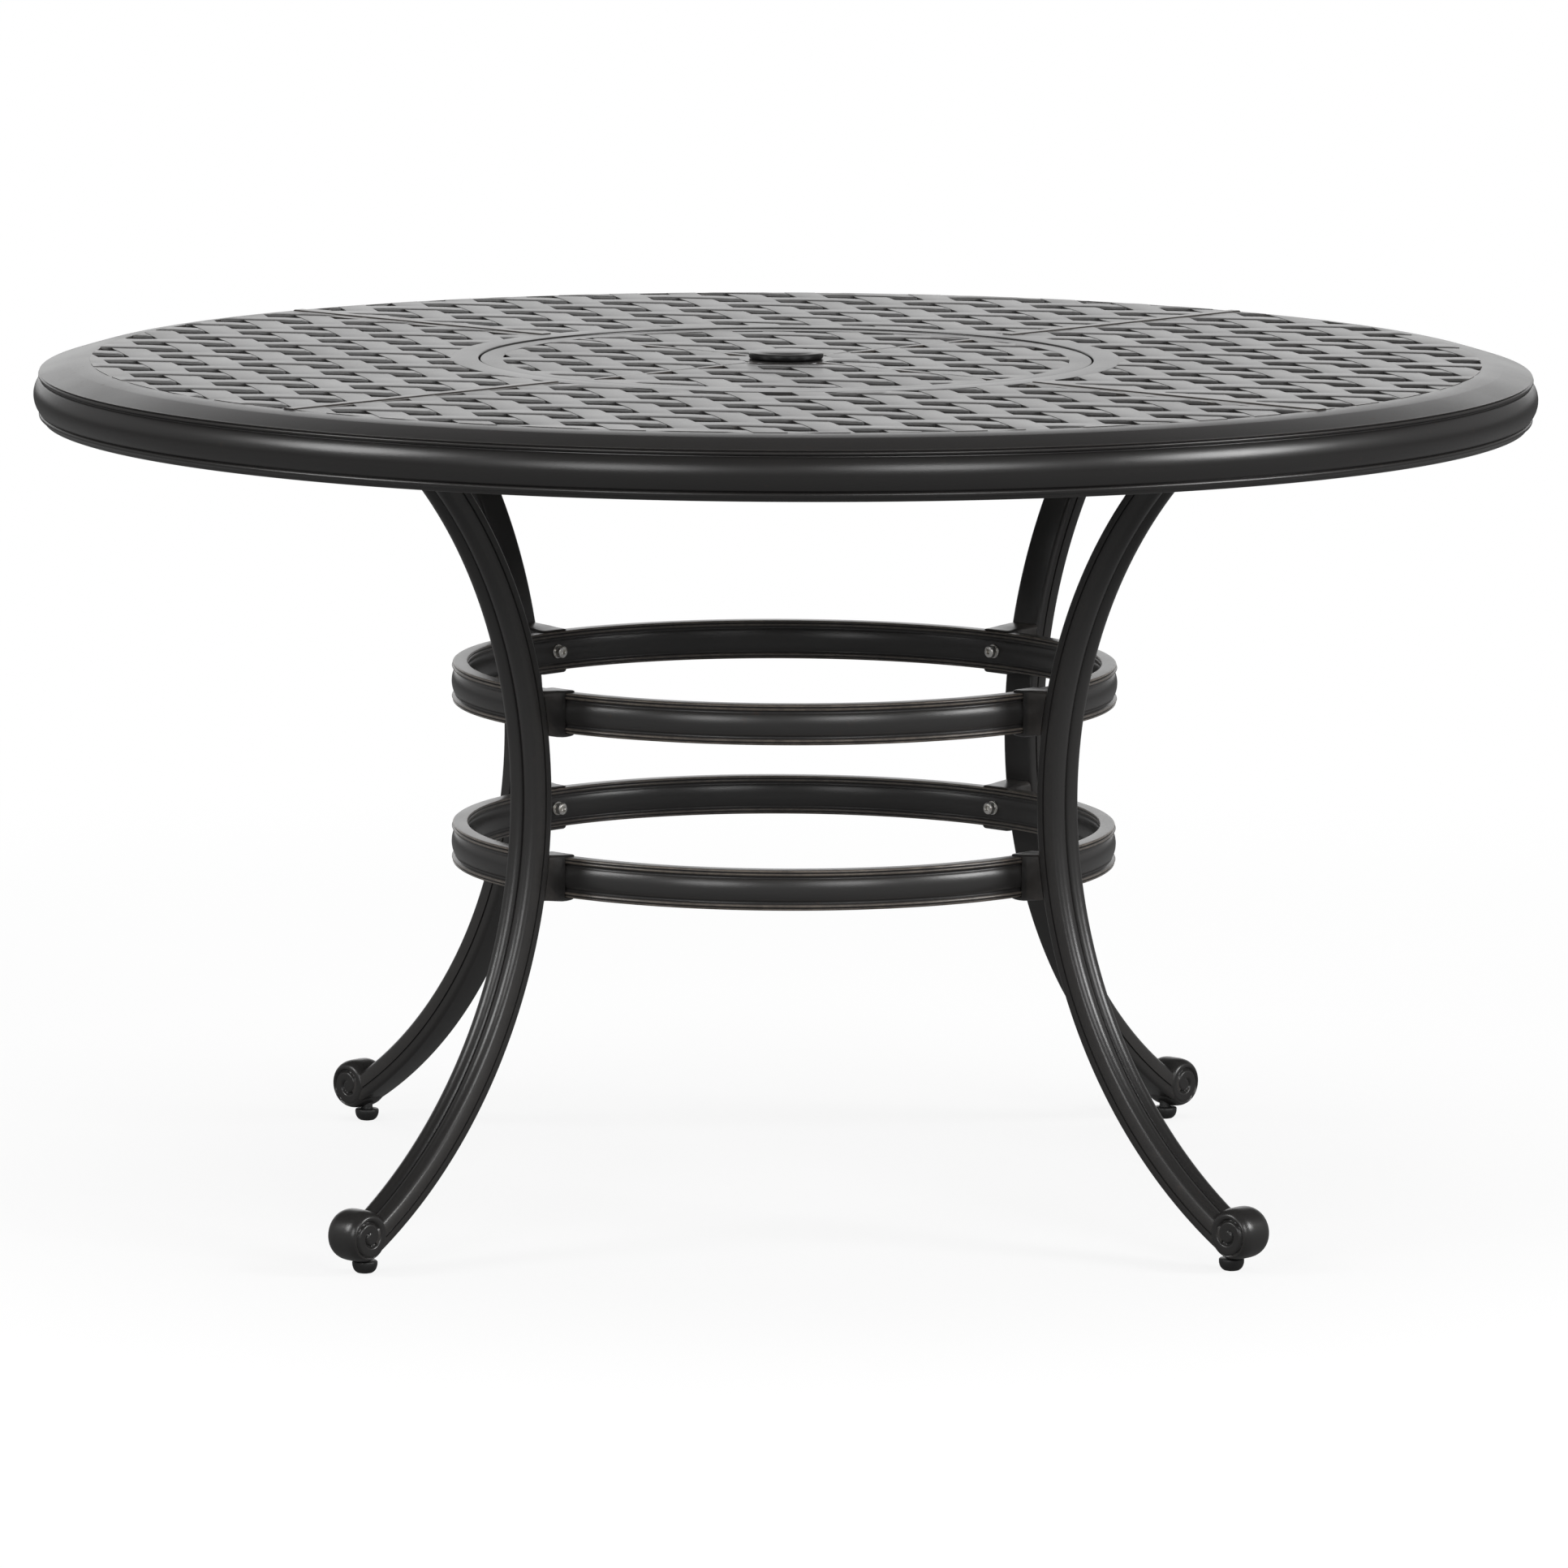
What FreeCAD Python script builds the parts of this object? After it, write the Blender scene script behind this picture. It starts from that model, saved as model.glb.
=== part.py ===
import FreeCAD
import Part
import Sketcher
import math
import os

# Umbrella table: a cast round table with a woven lattice top, a turntable let into its centre,
# an umbrella hole with its plug, and four scroll-footed legs tied by two hoops.
# Millimetres, +Z up, origin on the floor under the middle of the top.

VECTOR = FreeCAD.Vector
UP = VECTOR(0, 0, 1)

# Driving dimensions: name, value, what it is
SIZES = [
    ("table_height", 746, "floor to the top of the weave"),
    ("table_diameter", 1321, "over the bullnose of the rim"),
    ("border_width", 30, "flat border round the weave"),
    ("shoulder_width", 16, "sloping shoulder between the border and the fascia"),
    ("border_fall", 4, "how far the border slopes down to its edge"),
    ("border_thickness", 12, "metal under the border and the spokes"),
    ("shoulder_drop", 8.5, "top of the weave to the top of the fascia"),
    ("fascia_height", 6.5, "height of the fascia"),
    ("bullnose_height", 30, "height of the bullnose"),
    ("bullnose_turn", 9, "height of its turned edges above and below"),
    ("bullnose_depth", 4.5, "how far those edges turn in"),
    ("lip_inset", 8.5, "plain lip under the bullnose, inside the bullnose's face"),
    ("apron_height", 53, "top of the weave to the bottom of the rim"),
    ("apron_wall", 7, "metal of the rim at its lip"),
    ("spoke_width", 15, "radial rib of the top frame"),
    ("spoke_lap", 2, "how far a rib or spoke runs into the plain metal at its ends"),
    ("spoke_rise", 0.8, "how far a spoke stands above the weave"),
    ("band_radius", 295, "outer edge of the fixed band round the turntable"),
    ("turntable_radius", 269, "outer edge of the turntable"),
    ("turntable_gap", 1.5, "radial gap round the turntable"),
    ("turntable_sink", 1, "turntable's top below the top of the fixed weave"),
    ("turntable_border", 20, "plain border of the turntable"),
    ("turntable_rib", 10, "width of the turntable's crossed ribs"),
    ("turntable_plate", 5, "thickness of the turntable"),
    ("turntable_hub", 42, "radius of the plain disc round the umbrella hole"),
    ("turntable_boss_wall", 6, "wall of the boss that turns on the collar"),
    ("weave_pitch", 60.3, "spacing of the crossings along a strip"),
    ("weave_angle", 57.2, "angle from a spoke to the strips on either side"),
    ("strip_width", 27, "width of a strip"),
    ("weave_plate", 6, "thickness of the lattice"),
    ("weave_relief", 2.6, "height of a crossing's top strip over the lower one"),
    ("weave_shift_front", 0, "front panel's weave moved along its warp"),
    ("weave_shift_right", 12, "right panel's weave moved along its warp"),
    ("weave_shift_back", -9, "back panel's weave moved along its warp"),
    ("weave_shift_left", 29.5, "left panel's weave moved along its warp"),
    ("margin_narrow", 3, "plain margin of a panel beside a narrow-sided spoke"),
    ("margin_wide", 12, "plain margin of a panel beside a wide-sided spoke"),
    ("panel_clearance", 0.1, "gap between a panel and the frame round it"),
    ("umbrella_bore_radius", 26, "hole for the umbrella pole"),
    ("sleeve_wall", 5, "wall of the umbrella sleeve"),
    ("sleeve_drop", 40, "how far the sleeve hangs below the under-frame"),
    ("collar_height", 4.7, "height of that collar above the under-frame"),
    ("running_clearance", 0.05, "radial clearance of a turning fit"),
    ("hub_radius", 70, "hub of the under-frame"),
    ("arm_width", 30, "arm of the under-frame"),
    ("arm_height", 14, "height of the under-frame"),
    ("arm_gap", 6, "end of an arm inside the rim's wall"),
    ("pad_length", 14, "side of a glide pad"),
    ("pad_inset", 10, "outer pad's middle inside the turntable's edge"),
    ("pad_spacing", 120, "from there to the inner pad"),
    ("rest_gap", 0.3, "gap left under a piece that rests and moves"),
    ("plug_flange_radius", 31.3, "flange of the umbrella plug"),
    ("plug_flange_height", 6.5, "height of the plug's flange"),
    ("plug_spigot_length", 6, "spigot in the umbrella hole"),
    ("leg_waist_reach", 322, "leg's centre line from the table's axis where it is nearest"),
    ("leg_top_reach", 488, "leg's centre line from the table's axis under the arm"),
    ("leg_foot_reach", 530.6, "scroll's centre from the table's axis"),
    ("leg_width", 31, "leg across its outer face"),
    ("leg_depth", 27, "leg from inner to outer face"),
    ("reed_width", 10.5, "one of the two reeds on the outer face"),
    ("reed_rise", 2.5, "how far a reed stands out"),
    ("reed_bevel", 2.8, "width of the bevel along both sides of a reed"),
    ("flange_back", 60, "leg's top flange towards the table's axis from the leg's centre line"),
    ("flange_front", 18.9, "the same flange beyond the leg's outer face"),
    ("flange_width", 46, "width of the leg's top flange"),
    ("flange_thickness", 8, "thickness of the leg's top flange"),
    ("leg_bolt_inset", 12, "leg bolt from the end of the flange"),
    ("leg_bolt_head", 13, "leg bolt's head across its flats"),
    ("leg_bolt_head_height", 5.3, "height of that head"),
    ("scroll_radius", 22.3, "radius of the foot's scroll"),
    ("scroll_height", 36, "height of the scroll's centre"),
    ("scroll_width", 31, "width of the scroll"),
    ("glide_offset", 7.2, "glide nearer the table's axis than the scroll's centre"),
    ("glide_radius", 11, "radius of a glide's foot over its corners"),
    ("glide_height", 11, "height of the foot"),
    ("glide_bevel", 5.5, "bevel round the top of the foot"),
    ("glide_stud_radius", 4, "radius of a glide's stud"),
    ("glide_stud_length", 22, "stud above the foot"),
    ("hoop_depth", 15, "radial depth of a hoop"),
    ("hoop_height", 35, "height of a hoop"),
    ("hoop_crown", 2, "bulge of a hoop's outer face"),
    ("hoop_turn", 6, "height of its turned edges above and below"),
    ("upper_hoop_level", 459.8, "height of the upper hoop's middle"),
    ("lower_hoop_level", 316.7, "height of the lower hoop's middle"),
    ("saddle_width", 30, "width of the bracket between hoop and leg"),
    ("saddle_web", 14.5, "bracket between the hoop and the leg at its waist"),
    ("saddle_cheek", 3, "bracket's cheek above and below the hoop"),
    ("saddle_lap", 13, "how far the cheeks lap over the hoop"),
    ("seat_clearance", 0.1, "gap between pieces bolted together on a curve"),
    ("nut_flats", 10, "hoop nut across its flats"),
    ("nut_height", 6, "height of a hoop nut"),
]

# Sizes that follow from those above: name, formula, what it is
DERIVED = [
    ("underside", "table_height - border_thickness", "underside of the top's castings"),
    ("arm_bottom", "underside - arm_height", "where a leg meets its arm"),
    ("turntable_top", "table_height - turntable_sink", "top of the turntable"),
    ("fascia_top", "table_height - shoulder_drop", "top of the fascia"),
    ("bullnose_top", "fascia_top - fascia_height", "top of the bullnose"),
    ("bullnose_bottom", "bullnose_top - bullnose_height", "bottom of the bullnose"),
    ("rim_bottom", "table_height - apron_height", "lower edge of the rim"),
    ("rim_outer", "table_diameter / 2", "outermost face of the rim"),
    ("fascia_radius", "rim_outer - bullnose_depth", "straight band above the bullnose"),
    ("border_radius", "fascia_radius - shoulder_width", "outer edge of the flat border"),
    ("lattice_radius", "border_radius - border_width", "outer edge of the weave"),
    ("lip_radius", "rim_outer - lip_inset", "face of the plain lip"),
    ("rim_inner", "lip_radius - apron_wall", "inner face of the rim's wall"),
    ("band_inner", "turntable_radius + turntable_gap", "inner edge of the band"),
    ("arm_reach", "rim_inner - arm_gap", "outer end of an arm"),
    ("sleeve_outer", "umbrella_bore_radius + sleeve_wall", "outside of the umbrella sleeve"),
    ("collar_top", "underside + collar_height", "top of the sleeve's collar"),
    ("sleeve_bottom", "arm_bottom - sleeve_drop", "lower end of the sleeve"),
    ("leg_run", "leg_top_reach - leg_waist_reach", "leg's top outside its waist"),
    ("foot_run", "leg_foot_reach - leg_waist_reach", "scroll's centre outside the leg's waist"),
    ("scroll_inset", "scroll_radius - leg_depth / 2", "scroll's centre inside the leg's centre line"),
    ("foot_lean", "foot_run - scroll_inset", "first term of the arc through waist, top and foot"),
    ("waist_square", "foot_lean * (arm_bottom ^ 2 + leg_run ^ 2) - leg_run * (scroll_height ^ 2"
        " + foot_run ^ 2 - scroll_inset ^ 2)", "its second term"),
    ("waist_mean", "foot_lean * arm_bottom - leg_run * scroll_height", "its third term"),
    ("leg_waist_height", "waist_square / (waist_mean + sqrt(waist_mean ^ 2"
        " - (foot_lean - leg_run) * waist_square))", "height at which one arc meets top and foot"),
    ("leg_rise", "arm_bottom - leg_waist_height", "leg's top above its waist"),
    ("leg_arc_radius", "(leg_rise ^ 2 + leg_run ^ 2) / (2 * leg_run)", "radius of the leg's centre line"),
    ("leg_arc_reach", "leg_waist_reach + leg_arc_radius", "arc's centre from the table's axis"),
    ("leg_inner", "leg_arc_radius + leg_depth / 2", "radius of the leg's inner face"),
    ("leg_face", "leg_arc_radius - leg_depth / 2 + reed_rise", "radius of the outer face's ground"),
    ("scroll_reach", "leg_inner - scroll_radius", "scroll's centre from the arc's centre"),
    ("scroll_level", "leg_waist_height - scroll_height", "scroll's centre below the arc's centre"),
    ("scroll_run", "sqrt(scroll_reach ^ 2 - scroll_level ^ 2)", "the same, level"),
    ("glide_reach", "leg_arc_reach - scroll_run - glide_offset", "glide from the table's axis"),
    ("glide_stud_top", "glide_height + glide_stud_length", "top of a glide's stud"),
    ("flange_inner", "leg_top_reach - flange_back", "inner end of the leg's flange"),
    ("leg_top_front", "leg_arc_reach - sqrt((leg_arc_radius - leg_depth / 2) ^ 2 - leg_rise ^ 2)",
        "leg's outer face under the arm"),
    ("flange_outer", "leg_top_front + flange_front", "outer end of the leg's flange"),
    ("hoop_radius", "leg_waist_reach - leg_depth / 2 - saddle_web", "outer radius of both hoops"),
    ("hoop_inner", "hoop_radius - hoop_depth", "inner radius of both hoops"),
    ("saddle_slot", "hoop_height / 2 + seat_clearance", "half the bracket's slot"),
    ("saddle_half", "saddle_slot + saddle_cheek", "half the bracket's height"),
]

LEGS = [("front_left", 225), ("front_right", 315), ("back_right", 45), ("back_left", 135)]
HOOPS = ["upper", "lower"]
LEG_BOLTS = ["sizes.flange_inner + sizes.leg_bolt_inset", "sizes.flange_outer - sizes.leg_bolt_inset"]

# Panels: name, angle of the first spoke, its margin, the second spoke's margin
PANELS = [
    ("front", -135, "margin_narrow", "margin_wide"),
    ("right", -45, "margin_wide", "margin_narrow"),
    ("back", 45, "margin_narrow", "margin_wide"),
    ("left", 135, "margin_wide", "margin_narrow"),
]

doc = FreeCAD.newDocument("umbrella_table")
sheet = doc.addObject("Spreadsheet::Sheet", "sizes")


def fill_sheet():
    """Write the driving dimensions and what follows from them into the sheet."""
    rows = SIZES + [(alias, "=" + formula, note) for alias, formula, note in DERIVED]
    for row, (alias, value, note) in enumerate(rows, start=1):
        sheet.set("A%d" % row, alias)
        sheet.setAlias("B%d" % row, alias)
        sheet.set("C%d" % row, note)
    for row, (alias, value, note) in enumerate(rows, start=1):
        sheet.set("B%d" % row, str(value))
    doc.recompute()


def size(alias):
    """Value of one dimension of the sheet."""
    return float(getattr(sheet, alias))


def value_of(formula):
    """Value of a formula on the sheet."""
    return float(sheet.evalExpression(formula))


def new_body(label):
    """An empty body under its own label."""
    body = doc.addObject("PartDesign::Body", label)
    body.Label = label
    return body


def new_sketch(body, plane, name, level=None):
    """A sketch on one of the body's own planes, raised by a formula if one is given."""
    sketch = body.newObject("Sketcher::SketchObject", name)
    origin_plane = [item for item in body.Origin.OriginFeatures if item.Role == plane][0]
    sketch.AttachmentSupport = [(origin_plane, "")]
    sketch.MapMode = "FlatFace"
    if level is not None:
        sketch.setExpression("AttachmentOffset.Base.z", level)
    return sketch


def fix_point(sketch, edge, end, corner, place):
    """Hold one end of an edge at a corner given by two formulas."""
    for kind, formula, value, axis in (
        ("DistanceX", corner[0], place.x, -2),
        ("DistanceY", corner[1], place.y, -1),
    ):
        if formula == "0":
            sketch.addConstraint(Sketcher.Constraint("PointOnObject", edge, end, axis))
            continue
        index = sketch.addConstraint(Sketcher.Constraint(kind, -1, 1, edge, end, value))
        sketch.setExpression("Constraints[%d]" % index, formula)


def outline(sketch, corners, arcs=None):
    """Closed outline through corners, each two formulas.

    arcs gives a radius formula and a side for the edge that starts at a corner: the edge is then
    an arc that bulges to the left (1) or to the right (-1) of the way to the next corner.
    """
    arcs = arcs or {}
    count = len(corners)
    places = [VECTOR(value_of(x), value_of(y), 0) for x, y in corners]
    ends = []
    for number in range(count):
        start = places[number]
        end = places[(number + 1) % count]
        if number not in arcs:
            ends.append((sketch.addGeometry(Part.LineSegment(start, end)), 1, 2))
            continue
        formula, side = arcs[number]
        radius = value_of(formula)
        chord = end - start
        rise = math.sqrt(radius ** 2 - (chord.Length / 2) ** 2)
        centre = start + chord / 2 + VECTOR(chord.y, -chord.x, 0).normalize() * rise * side
        first, last = (start, end) if side < 0 else (end, start)
        angles = [math.atan2(place.y - centre.y, place.x - centre.x) for place in (first, last)]
        arc = Part.ArcOfCircle(Part.Circle(centre, UP, radius), angles[0], angles[1])
        edge = sketch.addGeometry(arc)
        ends.append((edge, 1, 2) if side < 0 else (edge, 2, 1))
    for number in range(count):
        edge, _, end = ends[number]
        following, start, _ = ends[(number + 1) % count]
        sketch.addConstraint(Sketcher.Constraint("Coincident", edge, end, following, start))
    for number, corner in enumerate(corners):
        edge, start, _ = ends[number]
        fix_point(sketch, edge, start, corner, places[number])
        if number in arcs:
            formula = arcs[number][0]
            index = sketch.addConstraint(Sketcher.Constraint("Radius", edge, value_of(formula)))
            sketch.setExpression("Constraints[%d]" % index, formula)


def circle(sketch, centre, radius):
    """A circle whose centre and radius are formulas."""
    place = VECTOR(value_of(centre[0]), value_of(centre[1]), 0)
    edge = sketch.addGeometry(Part.Circle(place, UP, value_of(radius)))
    fix_point(sketch, edge, 3, centre, place)
    index = sketch.addConstraint(Sketcher.Constraint("Radius", edge, value_of(radius)))
    sketch.setExpression("Constraints[%d]" % index, radius)


def revolve(body, name, corners, arcs=None):
    """Turn an outline given in radius and height round the body's Z axis."""
    sketch = new_sketch(body, "XZ_Plane", name + "_outline")
    outline(sketch, corners, arcs)
    feature = body.newObject("PartDesign::Revolution", name)
    feature.Profile = sketch
    feature.ReferenceAxis = (sketch, ["V_Axis"])
    feature.Angle = 360
    return feature


def extrude(body, name, corners, width, arcs=None, kind="PartDesign::Pad"):
    """Pad or pocket an outline in the XZ plane evenly to both sides."""
    sketch = new_sketch(body, "XZ_Plane", name + "_outline")
    outline(sketch, corners, arcs)
    feature = body.newObject(kind, name)
    feature.Profile = sketch
    feature.Midplane = True
    feature.setExpression("Length", width)
    return feature


def post(body, name, centre, radius, level, depth, kind="PartDesign::Pad"):
    """Round post up from a level, or round hole down from it."""
    sketch = new_sketch(body, "XY_Plane", name + "_circle", level)
    circle(sketch, centre, radius)
    feature = body.newObject(kind, name)
    feature.Profile = sketch
    feature.setExpression("Length", depth)
    return feature


def four_fold(body, features, name):
    """Repeat features at quarter turns round the body's Z axis."""
    pattern = body.newObject("PartDesign::PolarPattern", name)
    pattern.Originals = features
    axis = [item for item in body.Origin.OriginFeatures if item.Role == "Z_Axis"][0]
    pattern.Axis = (axis, [""])
    pattern.Angle = 360
    pattern.Occurrences = 4
    body.Tip = pattern
    return pattern


def place(item, angle, reach="0", level="0"):
    """Turn a piece about the table's axis and carry it out and up to its place."""
    item.Placement = FreeCAD.Placement(VECTOR(0, 0, 0), FreeCAD.Rotation(UP, angle))
    item.setExpression("Placement.Base.x", "(%s) * cos(%d deg)" % (reach, angle))
    item.setExpression("Placement.Base.y", "(%s) * sin(%d deg)" % (reach, angle))
    item.setExpression("Placement.Base.z", level)


def new_piece(label, shape):
    """A piece whose shape is made with the modeller's own functions."""
    piece = doc.addObject("Part::Feature", label)
    piece.Label = label
    piece.Shape = shape
    return piece


def turned(shape, angle):
    """A copy of a shape turned about the table's axis."""
    copy = shape.copy()
    copy.rotate(VECTOR(0, 0, 0), UP, angle)
    return copy


def tube(outer, inner, low, high):
    """A ring about the table's axis between two levels."""
    ring = Part.makeCylinder(outer, high - low, UP * low)
    return ring.cut(Part.makeCylinder(inner, high - low, UP * low))


def hexagon(across_flats, height):
    """A hexagonal prism that stands on the XY plane round the Z axis."""
    corner = across_flats / math.sqrt(3)
    turns = [math.radians(60 * step) for step in range(7)]
    points = [VECTOR(corner * math.cos(turn), corner * math.sin(turn), 0) for turn in turns]
    return Part.Face(Part.makePolygon(points)).extrude(UP * height)


def make_top_frame():
    """Rim with its rolled edge, four spokes and the band round the turntable, in one casting."""
    body = new_body("top_frame")
    revolve(body, "rim", [
        ("sizes.lattice_radius", "sizes.table_height"),
        ("sizes.lattice_radius", "sizes.underside"),
        ("sizes.rim_inner", "sizes.underside"),
        ("sizes.rim_inner", "sizes.rim_bottom"),
        ("sizes.lip_radius", "sizes.rim_bottom"),
        ("sizes.lip_radius", "sizes.bullnose_bottom"),
        ("sizes.fascia_radius", "sizes.bullnose_bottom"),
        ("sizes.rim_outer", "sizes.bullnose_bottom + sizes.bullnose_turn"),
        ("sizes.rim_outer", "sizes.bullnose_top - sizes.bullnose_turn"),
        ("sizes.fascia_radius", "sizes.bullnose_top"),
        ("sizes.fascia_radius", "sizes.fascia_top"),
        ("sizes.border_radius", "sizes.table_height - sizes.border_fall"),
    ])
    spoke = extrude(body, "spoke", [
        ("sizes.band_radius - sizes.spoke_lap", "sizes.underside"),
        ("sizes.lattice_radius + sizes.spoke_lap", "sizes.underside"),
        ("sizes.lattice_radius + sizes.spoke_lap", "sizes.table_height + sizes.spoke_rise"),
        ("sizes.band_radius - sizes.spoke_lap", "sizes.table_height + sizes.spoke_rise"),
    ], "sizes.spoke_width")
    four_fold(body, [spoke], "spokes")
    revolve(body, "band", [
        ("sizes.band_radius", "sizes.table_height"),
        ("sizes.band_inner", "sizes.table_height"),
        ("sizes.band_inner", "sizes.underside"),
        ("sizes.band_radius", "sizes.underside"),
    ])
    place(body, 45)
    return body


def strip_directions():
    """Steps from crossing to crossing along a weft strip and along a warp strip."""
    steps = []
    for side in (-1, 1):
        turn = math.radians(45 + side * size("weave_angle"))
        steps.append(VECTOR(math.cos(turn), math.sin(turn), 0) * size("weave_pitch"))
    return steps


def woven_strip(start, along, across, crossings, over, top):
    """One strip: high where it runs over a crossing, low where it dives under one.

    start is crossing number 0, and over says of a crossing's number whether the strip runs over it.
    """
    skew = abs(along.x * across.y - along.y * across.x) / along.Length ** 2
    half_crossing = size("strip_width") / 2 / skew
    direction = VECTOR(along).normalize()
    side = VECTOR(across).normalize() * half_crossing
    bottom = top - size("weave_plate")
    profile = [(crossings[0] * along.Length - half_crossing, bottom)]
    for number in crossings:
        level = top if over(number) else top - size("weave_relief")
        for end in (-half_crossing, half_crossing):
            profile.append((number * along.Length + end, level))
    profile.append((crossings[-1] * along.Length + half_crossing, bottom))
    points = [start - side + direction * reach + UP * level for reach, level in profile]
    return Part.Face(Part.makePolygon(points + points[:1])).extrude(side * 2)


def weave(region, points, shift, top):
    """Over-and-under lattice inside a region that lies between the given points of the top."""
    weft, warp = strip_directions()
    origin = VECTOR(warp).normalize() * shift
    area = weft.x * warp.y - weft.y * warp.x
    across_weft = [((p - origin).x * warp.y - (p - origin).y * warp.x) / area for p in points]
    across_warp = [(weft.x * (p - origin).y - weft.y * (p - origin).x) / area for p in points]
    columns = range(math.floor(min(across_weft)), math.ceil(max(across_weft)) + 1)
    rows = range(math.floor(min(across_warp)), math.ceil(max(across_warp)) + 1)
    strips = []
    for row in rows:
        start = origin + warp * row
        strips.append(woven_strip(start, weft, warp, columns, lambda n, r=row: (n + r) % 2 == 1, top))
    for column in columns:
        start = origin + weft * column
        strips.append(woven_strip(start, warp, weft, rows, lambda n, c=column: (n + c) % 2 == 0, top))
    cut = [strip.common(region) for strip in strips]
    return [piece for piece in cut if piece.Solids]


def make_lattice_panel(name, angle, first_margin, second_margin):
    """Woven panel between two spokes, with a plain margin beside each of them."""
    top = size("table_height")
    low = top - size("weave_plate")
    inner = size("band_radius") + size("panel_clearance")
    outer = size("lattice_radius") - size("panel_clearance")
    edge = size("spoke_width") / 2 + size("panel_clearance")
    ring = tube(outer, inner, low, top)
    quarter = ring.common(Part.makeBox(outer, outer, top - low, VECTOR(edge, edge, low)))
    margin_top = top - size("weave_relief") / 2
    margins = [
        Part.makeBox(outer, size(first_margin), margin_top - low, VECTOR(edge, edge, low)),
        Part.makeBox(size(second_margin), outer, margin_top - low, VECTOR(edge, edge, low)),
    ]
    pieces = [turned(quarter.common(margin), angle) for margin in margins]
    rays = [math.radians(angle + 15 * step) for step in range(7)]
    points = [VECTOR(math.cos(ray), math.sin(ray), 0) * reach for ray in rays for reach in (inner, outer)]
    pieces += weave(turned(quarter, angle), points, size("weave_shift_" + name), top)
    panel = pieces[0].multiFuse(pieces[1:]).removeSplitter()
    return new_piece("lattice_panel_" + name, panel.Solids[0])


def make_turntable():
    """Disc that turns about the umbrella hole: woven field, plain border, crossed ribs and boss."""
    top = size("turntable_top")
    low = top - size("turntable_plate")
    border = size("turntable_radius") - size("turntable_border")
    hub = size("turntable_hub")
    field = tube(border + size("spoke_lap"), hub - size("spoke_lap"), low, top)
    rays = [math.radians(30 * step) for step in range(12)]
    points = [VECTOR(math.cos(ray), math.sin(ray), 0) * border for ray in rays]
    pieces = [
        tube(size("turntable_radius"), border, low, top),
        Part.makeCylinder(hub, top - low, UP * low),
    ]
    width = size("turntable_rib")
    rib = Part.makeBox(2 * border, width, top - low, VECTOR(-border, -width / 2, low))
    pieces += [turned(rib, 45), turned(rib, 135)]
    collar = size("sleeve_outer") + size("running_clearance")
    boss_low = size("underside") + size("rest_gap")
    pieces.append(tube(collar + size("turntable_boss_wall"), collar, boss_low, low))
    pieces += weave(field, points, 0, top)
    disc = pieces[0].multiFuse(pieces[1:])
    disc = disc.cut(Part.makeCylinder(size("umbrella_bore_radius"), top - low, UP * low))
    return new_piece("turntable", disc.removeSplitter().Solids[0])


def make_under_frame():
    """Hub and four arms that carry the top and take the legs."""
    body = new_body("under_frame")
    revolve(body, "hub", [
        ("sizes.sleeve_outer", "sizes.underside"),
        ("sizes.sleeve_outer", "sizes.arm_bottom"),
        ("sizes.hub_radius", "sizes.arm_bottom"),
        ("sizes.hub_radius", "sizes.underside"),
    ])
    arm = extrude(body, "arm", [
        ("sizes.hub_radius - sizes.arm_width / 2", "sizes.arm_bottom"),
        ("sizes.arm_reach", "sizes.arm_bottom"),
        ("sizes.arm_reach", "sizes.underside"),
        ("sizes.hub_radius - sizes.arm_width / 2", "sizes.underside"),
    ], "sizes.arm_width")
    four_fold(body, [arm], "arms")
    place(body, 45)
    return body


def make_sleeve():
    """Tube pressed into the hub: it guides the umbrella's pole and centres the turntable."""
    body = new_body("umbrella_sleeve")
    revolve(body, "sleeve", [
        ("sizes.umbrella_bore_radius", "sizes.collar_top"),
        ("sizes.umbrella_bore_radius", "sizes.sleeve_bottom"),
        ("sizes.sleeve_outer", "sizes.sleeve_bottom"),
        ("sizes.sleeve_outer", "sizes.collar_top"),
    ])
    return body


def make_glide_pads():
    """Low-friction pads on the arms, on which the turntable runs."""
    low = size("underside")
    height = size("turntable_top") - size("turntable_plate") - size("rest_gap") - low
    side = size("pad_length")
    outer = size("turntable_radius") - size("pad_inset")
    pads = []
    for reach in (outer, outer - size("pad_spacing")):
        pad = Part.makeBox(side, side, height, VECTOR(reach - side / 2, -side / 2, low))
        pads += [turned(pad, angle) for _, angle in LEGS]
    return new_piece("turntable_pads", Part.makeCompound(pads))


def make_plug():
    """Plug that closes the umbrella hole: flange and spigot."""
    body = new_body("umbrella_plug")
    seat = "sizes.turntable_top + sizes.seat_clearance"
    spigot = "sizes.umbrella_bore_radius - sizes.running_clearance"
    revolve(body, "plug", [
        ("0", seat + " + sizes.plug_flange_height"),
        ("0", seat + " - sizes.plug_spigot_length"),
        (spigot, seat + " - sizes.plug_spigot_length"),
        (spigot, seat),
        ("sizes.plug_flange_radius", seat),
        ("sizes.plug_flange_radius", seat + " + sizes.plug_flange_height"),
    ])
    return body


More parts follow.
